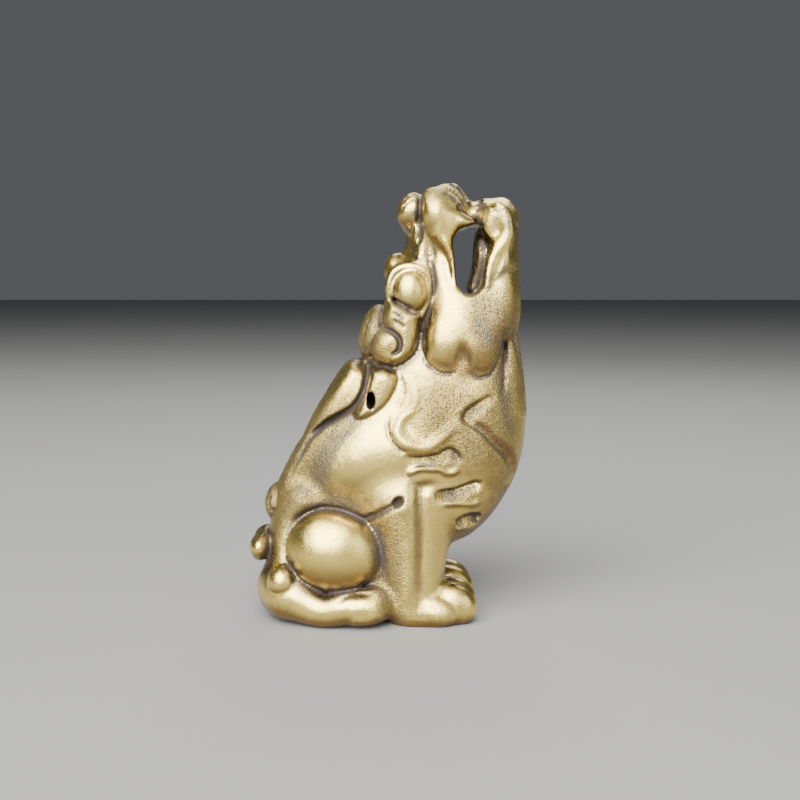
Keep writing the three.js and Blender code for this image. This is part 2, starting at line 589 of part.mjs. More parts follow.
// Moves each point onto the surface along the slope of the field.
function settle({ points, seam }, field) {
  const h = 0.02;
  points.forEach((p, i) => {
    for (let round = 0; round < 3; round++) {
      const f = field(...p);
      const g = [0, 1, 2].map((j) => (field(...p.map((w, m) => (m === j ? w + h : w))) - f) / h);
      if (seam.has(i)) g[1] = 0;
      const slope = Math.max(g[0] ** 2 + g[1] ** 2 + g[2] ** 2, 0.05);
      const length = Math.min(Math.abs(f) / Math.sqrt(slope), 0.4 * CELL);
      g.forEach((w, m) => (p[m] -= (Math.sign(f) * length * w) / Math.sqrt(slope)));
      p[1] = Math.max(p[1], 0);
    }
  });
}

// The planes of a triangle's three sides summed as a quadric: a, b, c, d products in ten numbers.
function quadricOf(p, q, r) {
  const [u, v] = [q.map((w, j) => w - p[j]), r.map((w, j) => w - p[j])];
  const n = [u[1] * v[2] - u[2] * v[1], u[2] * v[0] - u[0] * v[2], u[0] * v[1] - u[1] * v[0]];
  const area = Math.hypot(...n);
  if (area < 1e-12) return new Array(10).fill(0);
  const [a, b, c] = n.map((w) => w / area);
  const d = -(a * p[0] + b * p[1] + c * p[2]);
  return [a * a, a * b, a * c, a * d, b * b, b * c, b * d, c * c, c * d, d * d].map((w) => w * area);
}

const misfit = (q, [x, y, z]) =>
  q[0] * x * x + q[4] * y * y + q[7] * z * z + q[9] +
  2 * (q[1] * x * y + q[2] * x * z + q[5] * y * z + q[3] * x + q[6] * y + q[8] * z);

// The point with the least misfit, or null where the planes don't fix one.
function bestPoint(q) {
  const det =
    q[0] * (q[4] * q[7] - q[5] * q[5]) -
    q[1] * (q[1] * q[7] - q[5] * q[2]) +
    q[2] * (q[1] * q[5] - q[4] * q[2]);
  if (Math.abs(det) < 1e-4 * (q[0] + q[4] + q[7]) ** 3) return null;
  const [x, y, z] = [-q[3], -q[6], -q[8]];
  return [
    (x * (q[4] * q[7] - q[5] * q[5]) - q[1] * (y * q[7] - q[5] * z) + q[2] * (y * q[5] - q[4] * z)) / det,
    (q[0] * (y * q[7] - q[5] * z) - x * (q[1] * q[7] - q[5] * q[2]) + q[2] * (q[1] * z - y * q[2])) / det,
    (q[0] * (q[4] * z - y * q[5]) - q[1] * (q[1] * z - y * q[2]) + x * (q[1] * q[5] - q[4] * q[2])) / det,
  ];
}

// A queue that gives back the cheapest entry first.
class Queue {
  rows = [];
  push(row) {
    const r = this.rows;
    let i = r.push(row) - 1;
    while (i > 0 && r[(i - 1) >> 1].cost > r[i].cost) {
      const up = (i - 1) >> 1;
      [r[up], r[i]] = [r[i], r[up]];
      i = up;
    }
  }
  pop() {
    const r = this.rows;
    const top = r[0];
    const last = r.pop();
    if (r.length) {
      r[0] = last;
      for (let i = 0; ; ) {
        let low = i;
        for (const c of [2 * i + 1, 2 * i + 2]) if (c < r.length && r[c].cost < r[low].cost) low = c;
        if (low === i) break;
        [r[low], r[i]] = [r[i], r[low]];
        i = low;
      }
    }
    return top;
  }
}

// Joins neighbouring points where the shape changes least, until goal triangles are left.
// Points on the seam stay on it.
function thin({ points, triangles, seam }, goal) {
  const around = points.map(() => new Set());
  const quadrics = points.map(() => new Array(10).fill(0));
  triangles.forEach((t, i) => {
    const q = quadricOf(...t.map((v) => points[v]));
    for (const v of t) {
      around[v].add(i);
      q.forEach((w, m) => (quadrics[v][m] += w));
    }
  });
  const version = points.map(() => 0);
  const neighbours = (v) => new Set([...around[v]].flatMap((t) => triangles[t].filter((w) => w !== v)));
  const queue = new Queue();
  const offer = (a, b) => {
    const q = quadrics[a].map((w, m) => w + quadrics[b][m]);
    const [pa, pb] = [points[a], points[b]];
    const mid = pa.map((w, m) => (w + pb[m]) / 2);
    let options = [pa, pb, mid];
    if (seam.has(a) !== seam.has(b)) options = [seam.has(a) ? pa : pb];
    else if (!seam.has(a)) {
      const best = bestPoint(q);
      const size = Math.hypot(...pa.map((w, m) => w - pb[m]));
      const near = best && Math.hypot(...best.map((w, m) => w - mid[m])) < 2 * size;
      if (near && best[1] > 0.02) options.push(best);
    }
    const costs = options.map((p) => misfit(q, p));
    const least = Math.min(...costs);
    const length = Math.hypot(...pa.map((w, m) => w - pb[m]));
    const to = options[costs.indexOf(least)];
    queue.push({ cost: least + 1e-5 * length ** 2, a, b, to, va: version[a], vb: version[b] });
  };
  const normal = (p, q, r) => {
    const [u, v] = [q.map((w, j) => w - p[j]), r.map((w, j) => w - p[j])];
    return [u[1] * v[2] - u[2] * v[1], u[2] * v[0] - u[0] * v[2], u[0] * v[1] - u[1] * v[0]];
  };
  const turns = (v, gone, to) =>
    [...around[v]].some((t) => {
      const tri = triangles[t];
      if (tri.includes(gone)) return false;
      const before = normal(...tri.map((w) => points[w]));
      const after = normal(...tri.map((w) => (w === v ? to : points[w])));
      const [lb, la] = [Math.hypot(...before), Math.hypot(...after)];
      const cos = before.reduce((sum, w, m) => sum + w * after[m], 0) / Math.max(lb * la, 1e-12);
      const sides = tri.map((w, m) => {
        const [p, q] = [w, tri[(m + 1) % 3]].map((x) => (x === v ? to : points[x]));
        return Math.hypot(...p.map((c, j) => c - q[j]));
      });
      return cos < 0.4 || la < 0.06 * Math.max(...sides) ** 2;
    });
  // Whether joining a and b would leave an inner edge between two points of the seam.
  const crossesSeam = (a, b, shared, ring) => {
    const kept = [...around[a], ...around[b]].filter((t) => !shared.includes(t));
    const beside = (v) => kept.filter((t) => triangles[t].includes(v)).length;
    return [...ring].some((v) => v !== a && v !== b && seam.has(v) && beside(v) !== 1);
  };
  for (const [v] of points.entries()) for (const w of neighbours(v)) if (v < w) offer(v, w);
  let left = triangles.length;
  while (left > goal && queue.rows.length) {
    const { a, b, to, va, vb } = queue.pop();
    if (va !== version[a] || vb !== version[b]) continue;
    const shared = [...around[a]].filter((t) => around[b].has(t));
    const [na, nb] = [neighbours(a), neighbours(b)];
    const common = [...na].filter((v) => nb.has(v));
    if (common.length !== shared.length || !shared.length) continue;
    if (seam.has(a) && seam.has(b) && shared.length !== 1) continue;
    if ((seam.has(a) || seam.has(b)) && crossesSeam(a, b, shared, new Set([...na, ...nb]))) continue;
    if (turns(a, b, to) || turns(b, a, to)) continue;
    for (const t of shared) {
      triangles[t].forEach((v) => around[v].delete(t));
      triangles[t] = null;
      left -= 1;
    }
    for (const t of around[b]) {
      triangles[t] = triangles[t].map((v) => (v === b ? a : v));
      around[a].add(t);
    }
    around[b].clear();
    version[b] = -1;
    version[a] += 1;
    points[a] = to.slice();
    if (seam.has(b)) seam.add(a);
    quadrics[b].forEach((w, m) => (quadrics[a][m] += w));
    for (const v of neighbours(a)) {
      version[v] += 1;
    }
    for (const v of neighbours(a)) {
      offer(Math.min(a, v), Math.max(a, v));
      for (const w of neighbours(v)) if (w !== a) offer(Math.min(v, w), Math.max(v, w));
    }
  }
  return { points, triangles: triangles.filter(Boolean), seam };
}

// Both flanks as one closed mesh.
function mirrored({ points, triangles, seam }) {
  const index = new Map();
  const rows = [];
  const place = (v, side) => {
    const key = seam.has(v) ? v * 2 : v * 2 + (side < 0 ? 1 : 0);
    if (!index.has(key)) {
      index.set(key, rows.length);
      rows.push([points[v][0], seam.has(v) ? 0 : side * points[v][1], points[v][2]]);
    }
    return index.get(key);
  };
  const tri = [];
  for (const t of triangles) {
    tri.push(t.map((v) => place(v, 1)));
    tri.push(t.map((v) => place(v, -1)).reverse());
  }
  const geometry = new THREE.BufferGeometry();
  geometry.setAttribute("position", new THREE.Float32BufferAttribute(rows.flat(), 3));
  geometry.setIndex(tri.flat());
  return geometry;
}

const wasm = await Module();
wasm.setup();

function solidOf(geometry) {
  const g = geometry.clone();
  for (const name of ["normal", "uv"]) g.deleteAttribute(name);
  const merged = mergeVertices(g, 1e-5);
  const triVerts = new Uint32Array(merged.index.array);
  const vertProperties = merged.attributes.position.array;
  return new wasm.Manifold(new wasm.Mesh({ numProp: 3, vertProperties, triVerts }));
}

function geometryOf(solid) {
  const { vertProperties, triVerts, numProp } = solid.getMesh();
  const flat = [];
  for (const v of triVerts) for (let j = 0; j < 3; j++) flat.push(vertProperties[v * numProp + j]);
  const geometry = new THREE.BufferGeometry();
  geometry.setAttribute("position", new THREE.Float32BufferAttribute(flat, 3));
  geometry.computeVertexNormals();
  return geometry;
}

// What is cut away for the cord: an oval mouth on each flank, and a passage bent forward in the middle.
function cordHole() {
  const { x, z, width, height, depth, bore, bend } = CORD_HOLE;
  const [outer, inner] = [8, 5];
  const length = Math.hypot(inner, bend);
  let hole = null;
  for (const side of [-1, 1]) {
    const oval = new THREE.SphereGeometry(1, 16, 10);
    oval.scale(width / 2, depth, height / 2).translate(x, side * outer, z);
    const passage = new THREE.CylinderGeometry(bore / 2, bore / 2, length + bore, 12);
    passage.rotateZ(side * Math.atan2(bend, inner)).translate(x + bend / 2, (side * inner) / 2, z);
    const half = solidOf(oval).add(solidOf(passage));
    hole = hole ? hole.add(half) : half;
  }
  return hole;
}

function cast() {
  const forms = [
    torso(),
    ...hindquarters(),
    ...frontLeg(),
    ...tail(),
    ...mane(),
    ...head(),
    snout(),
    lowerJaw(),
    ...face(),
    ...mouth(),
    lug(),
    ...headCreases(),
    ...shoulderCreases(),
    ...chestCreases(),
    ...haunchCreases(),
  ];
  const field = (x, y, z) => melt(forms, x, y, z);
  const flank = skin(field);
  settle(flank, field);
  const thinned = thin(flank, HALF_TRIANGLES);
  const floor = new THREE.BoxGeometry(60, 60, 10).translate(0, 0, -5);
  const solid = solidOf(mirrored(thinned)).subtract(solidOf(floor)).subtract(cordHole());
  const scale = HEIGHT / DRAWN_HEIGHT;
  return geometryOf(solid).scale(scale, scale * GIRTH, scale);
}

const brass = new THREE.MeshStandardMaterial({ color: 0xc9a24e, metalness: 1, roughness: 0.32 });
const figure = new THREE.Mesh(cast(), brass);
figure.name = "beast_figure";

const root = new THREE.Group();
root.add(figure);
export default root;
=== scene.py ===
"""A small seated beast in solid cast brass, its head thrown back and its mouth open to the sky.

The figure is one closed surface. It is worked out as a distance field on whole numpy arrays: rounded forms
are melted into one another, creases, ribs and hollows are pressed into them, and the surface is drawn where
the field is zero. Forms are drawn in millimetres: +X is the front of the beast, +Z is up, and the two flanks
are alike about y = 0.
"""
import logging
import math
from dataclasses import dataclass, field
from enum import Enum
from functools import cached_property
from typing import Callable, ClassVar, Iterable, Sequence

import bpy
import numpy as np
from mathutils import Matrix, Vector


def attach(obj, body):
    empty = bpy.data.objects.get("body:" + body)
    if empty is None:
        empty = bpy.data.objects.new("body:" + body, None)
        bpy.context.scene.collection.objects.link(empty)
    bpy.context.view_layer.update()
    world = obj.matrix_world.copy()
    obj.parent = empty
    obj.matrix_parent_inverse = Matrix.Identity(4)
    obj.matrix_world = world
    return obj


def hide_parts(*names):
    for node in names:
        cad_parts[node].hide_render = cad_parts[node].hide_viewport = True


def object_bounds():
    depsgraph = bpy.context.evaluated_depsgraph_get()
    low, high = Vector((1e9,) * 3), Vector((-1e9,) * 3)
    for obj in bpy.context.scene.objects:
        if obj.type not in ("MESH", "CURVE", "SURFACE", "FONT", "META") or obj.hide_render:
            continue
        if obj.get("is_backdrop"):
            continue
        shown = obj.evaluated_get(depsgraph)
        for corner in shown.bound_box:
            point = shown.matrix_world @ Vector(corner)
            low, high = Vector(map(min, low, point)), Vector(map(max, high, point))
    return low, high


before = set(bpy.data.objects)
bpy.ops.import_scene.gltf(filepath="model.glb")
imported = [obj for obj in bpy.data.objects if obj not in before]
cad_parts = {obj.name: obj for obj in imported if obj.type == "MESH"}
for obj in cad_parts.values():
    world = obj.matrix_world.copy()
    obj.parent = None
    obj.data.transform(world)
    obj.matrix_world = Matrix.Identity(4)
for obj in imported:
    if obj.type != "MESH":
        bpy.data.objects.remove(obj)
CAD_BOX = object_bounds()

LOG = logging.getLogger("beast")
MM = 0.001

OPEN_AIR = 20.0  # the field where no form is near
FAR = 99.0  # mm, beyond any part of the beast
TINY = 1e-9  # these three keep a division from being by 0
TINY_SQUARE = 1e-12
TINY_RISE = 1e-30
MELT_REACH = 3.0  # mm past its box, and its melt, that a form still shapes the field
TUBE_STEPS = 12  # on each span of a tube
OUTLINE_STEPS = 4  # on each span of an outline
FADE = 0.6  # mm over which a mark fades in
TAPER = 0.7  # power by which a line thins towards its ends
BELL_REACH = 2.5  # widths away from a line at which its bell curve has faded out
LATTICE_VALUES = 8192
LATTICE_PRIMES = (7919, 104729, 1299709)

Array = np.ndarray
Spot = tuple[float, float]
Point = tuple[float, float, float]
Bead = tuple[float, float, float, float]
Colour = tuple[float, float, float, float]
Field = Callable[[Array, Array, Array], Array]
Socket = bpy.types.NodeSocket


class Act(Enum):
    """What a form does to the body that it meets."""

    JOIN = "join"
    CUT = "cut"
    PRESS = "press"


class Side(Enum):
    """Which end of the beast a line is drawn on, as the sign of x there."""

    FRONT = 1
    BACK = -1


# Curves and blends


def smooth_min(a: Array, b: Array, width: float) -> Array:
    """The smaller of a and b, rounded where they are nearly equal.

    The minimum, less a quarter of the width times the square of how far the two are inside that width of
    each other, as a share of it.

    Args:
        a: first field.
        b: second field.
        width: size of the rounding, in mm; 0 gives a sharp corner.

    Returns:
        The blended field.
    """
    if width <= 0:
        return np.minimum(a, b)
    h = np.maximum(width - np.abs(a - b), 0) / width
    return np.minimum(a, b) - h * h * width / 4


def curve(rows: Sequence[Sequence[float]], per: int = 6, closed: bool = False) -> Array:
    """A smooth curve through rows of numbers.

    Catmull-Rom: each span is the cubic whose slope at a row is half the step between that row's neighbours.

    Args:
        rows: the rows it runs through, such as x, z or x, y, z, radius.
        per: points on each span.
        closed: whether it returns to its first row.

    Returns:
        The points, one row each.
    """
    p = np.asarray(rows, float)
    q = np.vstack([p[-1:], p, p[:2]]) if closed else np.vstack([2 * p[0] - p[1], p, 2 * p[-1] - p[-2]])
    t = np.linspace(0, 1, per, endpoint=False)[None, :, None]
    a, b, c, d = (q[i : len(q) - 3 + i, None, :] for i in range(4))
    spans = 0.5 * (2 * b + (c - a) * t + (2 * a - 5 * b + 4 * c - d) * t**2 + (3 * b - a - 3 * c + d) * t**3)
    flat = spans.reshape(-1, p.shape[1])
    return flat if closed else np.vstack([flat, p[-1:]])


def ease(t: Array) -> Array:
    """0 below 0, 1 above 1, and 3t2 - 2t3 between them."""
    t = np.clip(t, 0, 1)
    return t * t * (3 - 2 * t)


def turned(x: Array, z: Array, degrees: float) -> tuple[Array, Array]:
    """x and z in axes whose front is lifted by that many degrees."""
    c, s = math.cos(math.radians(degrees)), math.sin(math.radians(degrees))
    return x * c + z * s, -x * s + z * c


def lattice_noise(x: Array, y: Array, z: Array, size: float, seed: int) -> Array:
    """Smooth random heights from -1 to 1.

    Random values on a lattice of that size, blended inside each cell by an eased share of its eight corners.

    Args:
        x: first coordinate, mm.
        y: second coordinate, mm.
        z: third coordinate, mm.
        size: lattice spacing, mm.
        seed: which random lattice.

    Returns:
        The height at each point.
    """
    values = np.random.default_rng(seed).uniform(-1, 1, LATTICE_VALUES)
    cells = [np.floor(c / size).astype(np.int64) for c in (x, y, z)]
    shares = [ease(c / size - n) for c, n in zip((x, y, z), cells)]
    out = np.zeros(np.shape(x))
    for corner in range(8):
        bits = [(corner >> n) & 1 for n in range(3)]
        place = sum((n + b) * prime for n, b, prime in zip(cells, bits, LATTICE_PRIMES))
        weight = np.prod([s if b else 1 - s for s, b in zip(shares, bits)], axis=0)
        out += weight * values[place % LATTICE_VALUES]
    return out


def nearest_on_path(path: Array, coords: Sequence[Array]) -> tuple[Array, Array, Array]:
    """Squared distance to a path, how far along it the nearest point lies, and on which side of the path.

    Each straight step is measured as a clamped projection, and the least of all the steps is kept. The side
    is the cross product, in the first and last column, of the step and the way to the point.

    Args:
        path: points of the path, one row each.
        coords: one array for each column of the path.

    Returns:
        The squared distance, the share of the way along, and the side, above 0 on the left.
    """
    best = np.full(coords[0].shape, np.inf)
    where = np.zeros(coords[0].shape)
    side = np.zeros(coords[0].shape)
    steps = len(path) - 1
    for n in range(steps):
        a, v = path[n], path[n + 1] - path[n]
        away = [c - o for c, o in zip(coords, a)]
        t = np.clip(sum(d * w for d, w in zip(away, v)) / max(float(v @ v), TINY_SQUARE), 0, 1)
        square = sum((d - t * w) ** 2 for d, w in zip(away, v))
        nearer = square < best
        best = np.where(nearer, square, best)
        where = np.where(nearer, (n + t) / steps, where)
        side = np.where(nearer, v[0] * away[-1] - v[-1] * away[0], side)
    return best, where, side


# Forms


@dataclass(frozen=True, kw_only=True)
class Form:
    """One form of the body, with the box that holds it."""

    melt: float = 0.5
    act: Act = Act.JOIN

    @property
    def box(self) -> Array:
        """Lowest and highest corner, mm."""
        raise NotImplementedError

    def value(self, x: Array, y: Array, z: Array) -> Array:
        """Distance to the form, or for a pressed one how deep it goes."""
        raise NotImplementedError

    def near(self, x: Array, y: Array, z: Array) -> Array:
        """Indices of the points that the form can touch."""
        pad = 0.0 if self.act is Act.PRESS else MELT_REACH + self.melt
        lo, hi = self.box
        inside = (x > lo[0] - pad) & (x < hi[0] + pad) & (y > lo[1] - pad) & (y < hi[1] + pad)
        return np.flatnonzero(inside & (z > lo[2] - pad) & (z < hi[2] + pad))


@dataclass(frozen=True)
class Egg(Form):
    """An ellipsoid: its scaled radius less one, over that radius's slope. tilt lifts its front in degrees."""

    at: Point
    radii: Point
    tilt: float = 0.0

    @cached_property
    def box(self) -> Array:
        """Lowest and highest corner, mm."""
        reach = max(self.radii)
        return np.array([np.subtract(self.at, reach), np.add(self.at, reach)])

    def value(self, x: Array, y: Array, z: Array) -> Array:
        """Distance to the egg, mm."""
        dx, dz = turned(x - self.at[0], z - self.at[2], self.tilt)
        share = [dx / self.radii[0], (y - self.at[1]) / self.radii[1], dz / self.radii[2]]
        near = np.sqrt(sum(s * s for s in share))
        slope = np.sqrt(sum((s / r) ** 2 for s, r in zip(share, self.radii)))
        return near * (near - 1) / np.maximum(slope, TINY)


@dataclass(frozen=True)
class Lock(Form):
    """A round tube along a curve, with a radius at each bead. flat widens it in y about the level y0."""

    beads: Sequence[Bead]
    flat: float = 1.0
    y0: float = 0.0

    @cached_property
    def path(self) -> Array:
        """The beads joined by a curve."""
        return curve(self.beads, TUBE_STEPS) if len(self.beads) > 2 else np.asarray(self.beads, float)

    @cached_property
    def box(self) -> Array:
        """Lowest and highest corner, mm."""
        reach = self.path[:, 3].max() * np.array([1, max(1, self.flat), 1])
        return np.array([self.path[:, :3].min(0) - reach, self.path[:, :3].max(0) + reach])

    def value(self, x: Array, y: Array, z: Array) -> Array:
        """Distance to the nearest step of the path, less its radius there."""
        w = (y - self.y0) / self.flat + self.y0
        best = np.full(x.shape, np.inf)
        for a, b in zip(self.path[:-1], self.path[1:]):
            v = b[:3] - a[:3]
            away = (x - a[0], w - a[1], z - a[2])
            t = np.clip(sum(d * s for d, s in zip(away, v)) / max(float(v @ v), TINY_SQUARE), 0, 1)
            gap = np.sqrt(sum((d - t * s) ** 2 for d, s in zip(away, v)))
            best = np.minimum(best, gap - a[3] - (b[3] - a[3]) * t)
        return best * min(1.0, self.flat)


@dataclass(frozen=True)
class Plate(Form):
    """A flat-sided form with an outline drawn in the side view.

    A rounded slab: the outline's distance and the distance to its two faces, joined by a round of radius
    edge. The faces stand half from the level y0, and dome swells them towards the middle over the width
    reach. lean makes it thicker with height, in mm for each mm.
    """

    outline: Sequence[Spot]
    half: float
    edge: float
    y0: float = 0.0
    dome: float = 0.0
    reach: float = 2.0
    lean: float = 0.0

    @cached_property
    def path(self) -> Array:
        """The closed outline as a curve, its first point repeated at the end."""
        loop = curve(self.outline, OUTLINE_STEPS, closed=True)
        return np.vstack([loop, loop[:1]])

    @cached_property
    def box(self) -> Array:
        """Lowest and highest corner, mm."""
        (x0, z0), (x1, z1) = self.path.min(0), self.path.max(0)
        thick = self.half + self.dome + abs(self.lean) * (z1 - z0) / 2
        return np.array([[x0, self.y0 - thick, z0], [x1, self.y0 + thick, z1]])

    def value(self, x: Array, y: Array, z: Array) -> Array:
        """Distance to the rounded slab, mm."""
        square, _, _ = nearest_on_path(self.path, (x, z))
        inside = np.zeros(x.shape, bool)
        for (ax, az), (bx, bz) in zip(self.path[:-1], self.path[1:]):
            crosses = (az > z) != (bz > z)
            inside ^= crosses & (x < (bx - ax) * (z - az) / (bz - az + TINY_RISE) + ax)
        border = np.sqrt(square) * np.where(inside, -1, 1)
        middle = (self.path[:, 1].min() + self.path[:, 1].max()) / 2
        half = self.half + self.lean * (z - middle)
        half = half + self.dome * (1 - (1 - np.clip(-border / self.reach, 0, 1)) ** 2)
        u, v = border + self.edge, np.abs(y - self.y0) - half + self.edge
        corner = np.hypot(np.maximum(u, 0), np.maximum(v, 0))
        return np.minimum(np.maximum(u, v), 0) + corner - self.edge


@dataclass(frozen=True, kw_only=True)
class Pressed(Form):
    """A mark pressed into the surface (depth above 0) or raised on it (below 0), outside the level inner."""

    depth: float = 0.4
    inner: float = 2.0
    clean: bool = False
    act: Act = Act.PRESS

    def fade(self, beyond: Array) -> Array:
        """0 up to the level inner and 1 from FADE mm beyond it."""
        return np.clip(beyond / FADE, 0, 1)


@dataclass(frozen=True)
class Line(Pressed):
    """A groove or rib along a path: depth times a bell curve of the distance to it, thinned at its ends."""

    way: Sequence[Spot]
    width: float = 0.3
    end: ClassVar[float] = 0.18

    @cached_property
    def path(self) -> Array:
        """The way as a curve."""
        return curve(self.way)

    def thinned(self, share: Array) -> Array:
        """0 at the end of the path, and 1 from the share called end of its length on."""
        return np.clip(share / self.end, 0, 1) ** TAPER


@dataclass(frozen=True)
class Groove(Line):
    """A line drawn in the side view, in x and z.

    With a shelf, the surface stays sunk on the left of the path (on the right if the shelf is below 0) and
    comes back up over that many mm, so that the other side seems to lie on top of it.
    """

    taper: tuple[bool, bool] = (True, True)
    shelf: float = 0.0

    @cached_property
    def box(self) -> Array:
        """Lowest and highest corner, mm."""
        reach = max(BELL_REACH * self.width, abs(self.shelf))
        (x0, z0), (x1, z1) = self.path.min(0) - reach, self.path.max(0) + reach
        return np.array([[x0, self.inner, z0], [x1, FAR, z1]])

    def value(self, x: Array, y: Array, z: Array) -> Array:
        """Depth at each point: the bell curve or the shelf's ease, thinned towards the tapered ends."""
        square, where, side = nearest_on_path(self.path, (x, z))
        across = np.exp(-square / self.width**2)
        if self.shelf:
            slope = ease(1 - np.sqrt(square) / abs(self.shelf))
            across = np.where(side * self.shelf > 0, slope, across)
        start = self.thinned(where) if self.taper[0] else 1.0
        finish = self.thinned(1 - where) if self.taper[1] else 1.0
        return self.depth * across * start * finish * self.fade(y - self.inner)


@dataclass(frozen=True)
class Strand(Line):
    """A line drawn in the end view, in y and z, on the front of the beast or on its back.

    It marks the surface where that lies beyond the level inner in x.
    """

    side: Side = Side.FRONT
    end: ClassVar[float] = 0.15

    @cached_property
    def box(self) -> Array:
        """Lowest and highest corner, mm."""
        reach = BELL_REACH * self.width
        (y0, z0), (y1, z1) = self.path.min(0) - reach, self.path.max(0) + reach
        x0, x1 = sorted((self.inner, FAR * self.side.value))
        return np.array([[x0, y0, z0], [x1, y1, z1]])

    def value(self, x: Array, y: Array, z: Array) -> Array:
        """Depth at each point."""
        square, where, _ = nearest_on_path(self.path, (y, z))
        ends = self.thinned(np.minimum(where, 1 - where))
        beyond = self.fade(self.side.value * (x - self.inner))
        return self.depth * np.exp(-square / self.width**2) * ends * beyond


@dataclass(frozen=True)
class Hollow(Pressed):
    """A hollow with a soft rim: depth times an eased share of how far inside an ellipse a point lies."""

    at: Spot
    radii: Spot
    tilt: float = 0.0
    rim: float = 0.4

    @cached_property
    def box(self) -> Array:
        """Lowest and highest corner, mm."""
        reach = max(self.radii) * (1 + self.rim)
        x, z = self.at
        return np.array([[x - reach, self.inner, z - reach], [x + reach, FAR, z + reach]])

    def value(self, x: Array, y: Array, z: Array) -> Array:
        """Depth at each point."""
        dx, dz = turned(x - self.at[0], z - self.at[1], self.tilt)
        share = np.hypot(dx / self.radii[0], dz / self.radii[1])
        return self.depth * ease((1 + self.rim - share) / (2 * self.rim)) * self.fade(y - self.inner)


@dataclass(frozen=True)
class Melted(Form):
    """Several forms melted together first, and then into the body as one."""

    forms: Sequence[Form]

    @cached_property
    def box(self) -> Array:
        """Lowest and highest corner of the solid forms, mm."""
        boxes = np.array([f.box for f in self.forms if f.act is Act.JOIN])
        return np.array([boxes[:, 0].min(0), boxes[:, 1].max(0)])

    def value(self, x: Array, y: Array, z: Array) -> Array:
        """Field of the forms together."""
        return melted(self.forms, x, y, z)


def melted(forms: Iterable[Form], x: Array, y: Array, z: Array) -> Array:
    """The field of forms in order: joined by a smooth minimum, cut by its mirror, or pressed by adding depth.

    Args:
        forms: the forms, in the order in which they meet the body.
        x: first coordinate of each point, mm.
        y: second coordinate, 0 or more.
        z: third coordinate.

    Returns:
        The field, below 0 inside the metal.
    """
    out = np.full(x.shape, OPEN_AIR)
    for form in forms:
        i = form.near(x, y, z)
        if not len(i):
            continue
        value = form.value(x[i], y[i], z[i])
        if form.act is Act.PRESS:
            out[i] += value
        elif form.act is Act.CUT:
            out[i] = -smooth_min(-out[i], value, form.melt)
        else:
            out[i] = smooth_min(out[i], value, form.melt)
    return out


# The beast, piece by piece


@dataclass(frozen=True)
class Torso:
    """Body from the haunches to the neck, with the chest, the web between the front legs and the back."""

    spine: Sequence[Bead] = (
        (-6.0, 0, 6.8, 7.5),
        (-4.6, 0, 9.5, 7.7),
        (-1.3, 0, 14.8, 9.1),
        (3.7, 0, 21.0, 10.8),
        (6.2, 0, 27.4, 8.6),
    )
    flatness: float = 0.76
    chest: Point = (9.8, 0, 22.6)
    chest_radii: Point = (5.5, 6.6, 10.3)

    def forms(self) -> list[Form]:
        """The melted body."""
        return [
            Melted(
                (
                    Lock(self.spine, self.flatness, melt=3.0),
                    Egg(self.chest, self.chest_radii, 3, melt=3.0),
                    Egg((7.5, 0, 13.3), (4.2, 6.4, 4.9), -30, melt=2.5),
                    Egg((-0.8, 3.0, 19.2), (7.8, 5.1, 4.9), 15, melt=2.5),
                    Lock(((1.1, 2, 13.5, 4.2), (1.9, 2, 2.2, 2.8)), 1.5, melt=2.0),
                    Lock(
                        (
                            (-10, 0, 18.4, 1.2), (-11.7, 0, 14.5, 1.6), (-12.8, 0, 10.7, 1.2),
                            (-13.3, 0, 5.8, 1.2),
                        ),
                        2.2, melt=1.5,
                    ),
                ),
                melt=0.0,
            )
        ]


@dataclass(frozen=True)
class Hindquarters:
    """Rump, hip, thigh and hind foot."""

    thigh: Point = (-6.05, 6.0, 8.45)
    thigh_radii: Point = (5.55, 4.3, 4.9)
    shank: Sequence[Bead] = (
        (-11.2, 6, 3.3, 2.8), (-7.7, 7.6, 1.9, 1.9), (-4.8, 8.0, 2.3, 2.0), (-1.7, 7.6, 2.5, 2.1),
    )
    toes: Sequence[Spot] = (
        (-5.0, 2.8), (-4.3, 3.5), (-2.8, 3.9), (-1.2, 3.8), (-0.4, 2.9), (-0.5, 1.5), (-1.8, 0.5),
        (-4.0, 0.4), (-4.8, 1.4),
    )

    def forms(self) -> list[Form]:
        """Rump and shank, hip, thigh, toes laid forward on the floor, and the web up to the front leg."""
        return [
            Melted((Egg((-11.2, 3, 3.5), (4.1, 4.6, 4.0), melt=1.5), Lock(self.shank, melt=1.2)), melt=0.8),
            Lock(
                ((-9.7, 4, 13.8, 1.3), (-11, 3.6, 11.4, 1.05), (-11.6, 3.8, 8.5, 1.15), (-11.4, 4, 5.6, 1.5)),
                1.3, 3.8, melt=2.2,
            ),
            Egg(self.thigh, self.thigh_radii, -10, melt=0.25),
            Plate(self.toes, 2.1, 1.3, 7.6, 0.35, 1.4, melt=0.5),
            Egg((-1.2, 4.4, 5.4), (2.0, 2.7, 3.4), melt=0.8),
        ]


@dataclass(frozen=True)
class FrontLeg:
    """Front leg and its paw."""

    toes: int = 2
    first_toe: Point = (7.1, 2.8, 2.1)
    pitch: float = 3.3
    toe_radii: Point = (2.95, 1.8, 2.4)
    toe_tilt: float = -22.0
    bow: float = 0.4

    def forms(self) -> list[Form]:
        """The leg, then the paw with its toes side by side on a bow that stands forward by up to bow mm."""
        x, y, z = self.first_toe
        toes = []
        for n in range(self.toes):
            forward = self.bow * math.sin(math.pi * (n + 0.7) / self.toes)
            at = (x + forward, y + self.pitch * n, z)
            toes.append(Egg(at, self.toe_radii, self.toe_tilt, melt=0.12))
        return [
            Lock(((3.4, 4.0, 14.8, 3.75), (3.1, 4.8, 7.6, 3.5), (3.2, 5.2, 1.8, 3.15)), 1.0, 4.8, melt=2.2),
            Melted((Egg((5.7, 5, 1.5), (3.2, 3.9, 2.4)), *toes), melt=1.1),
        ]


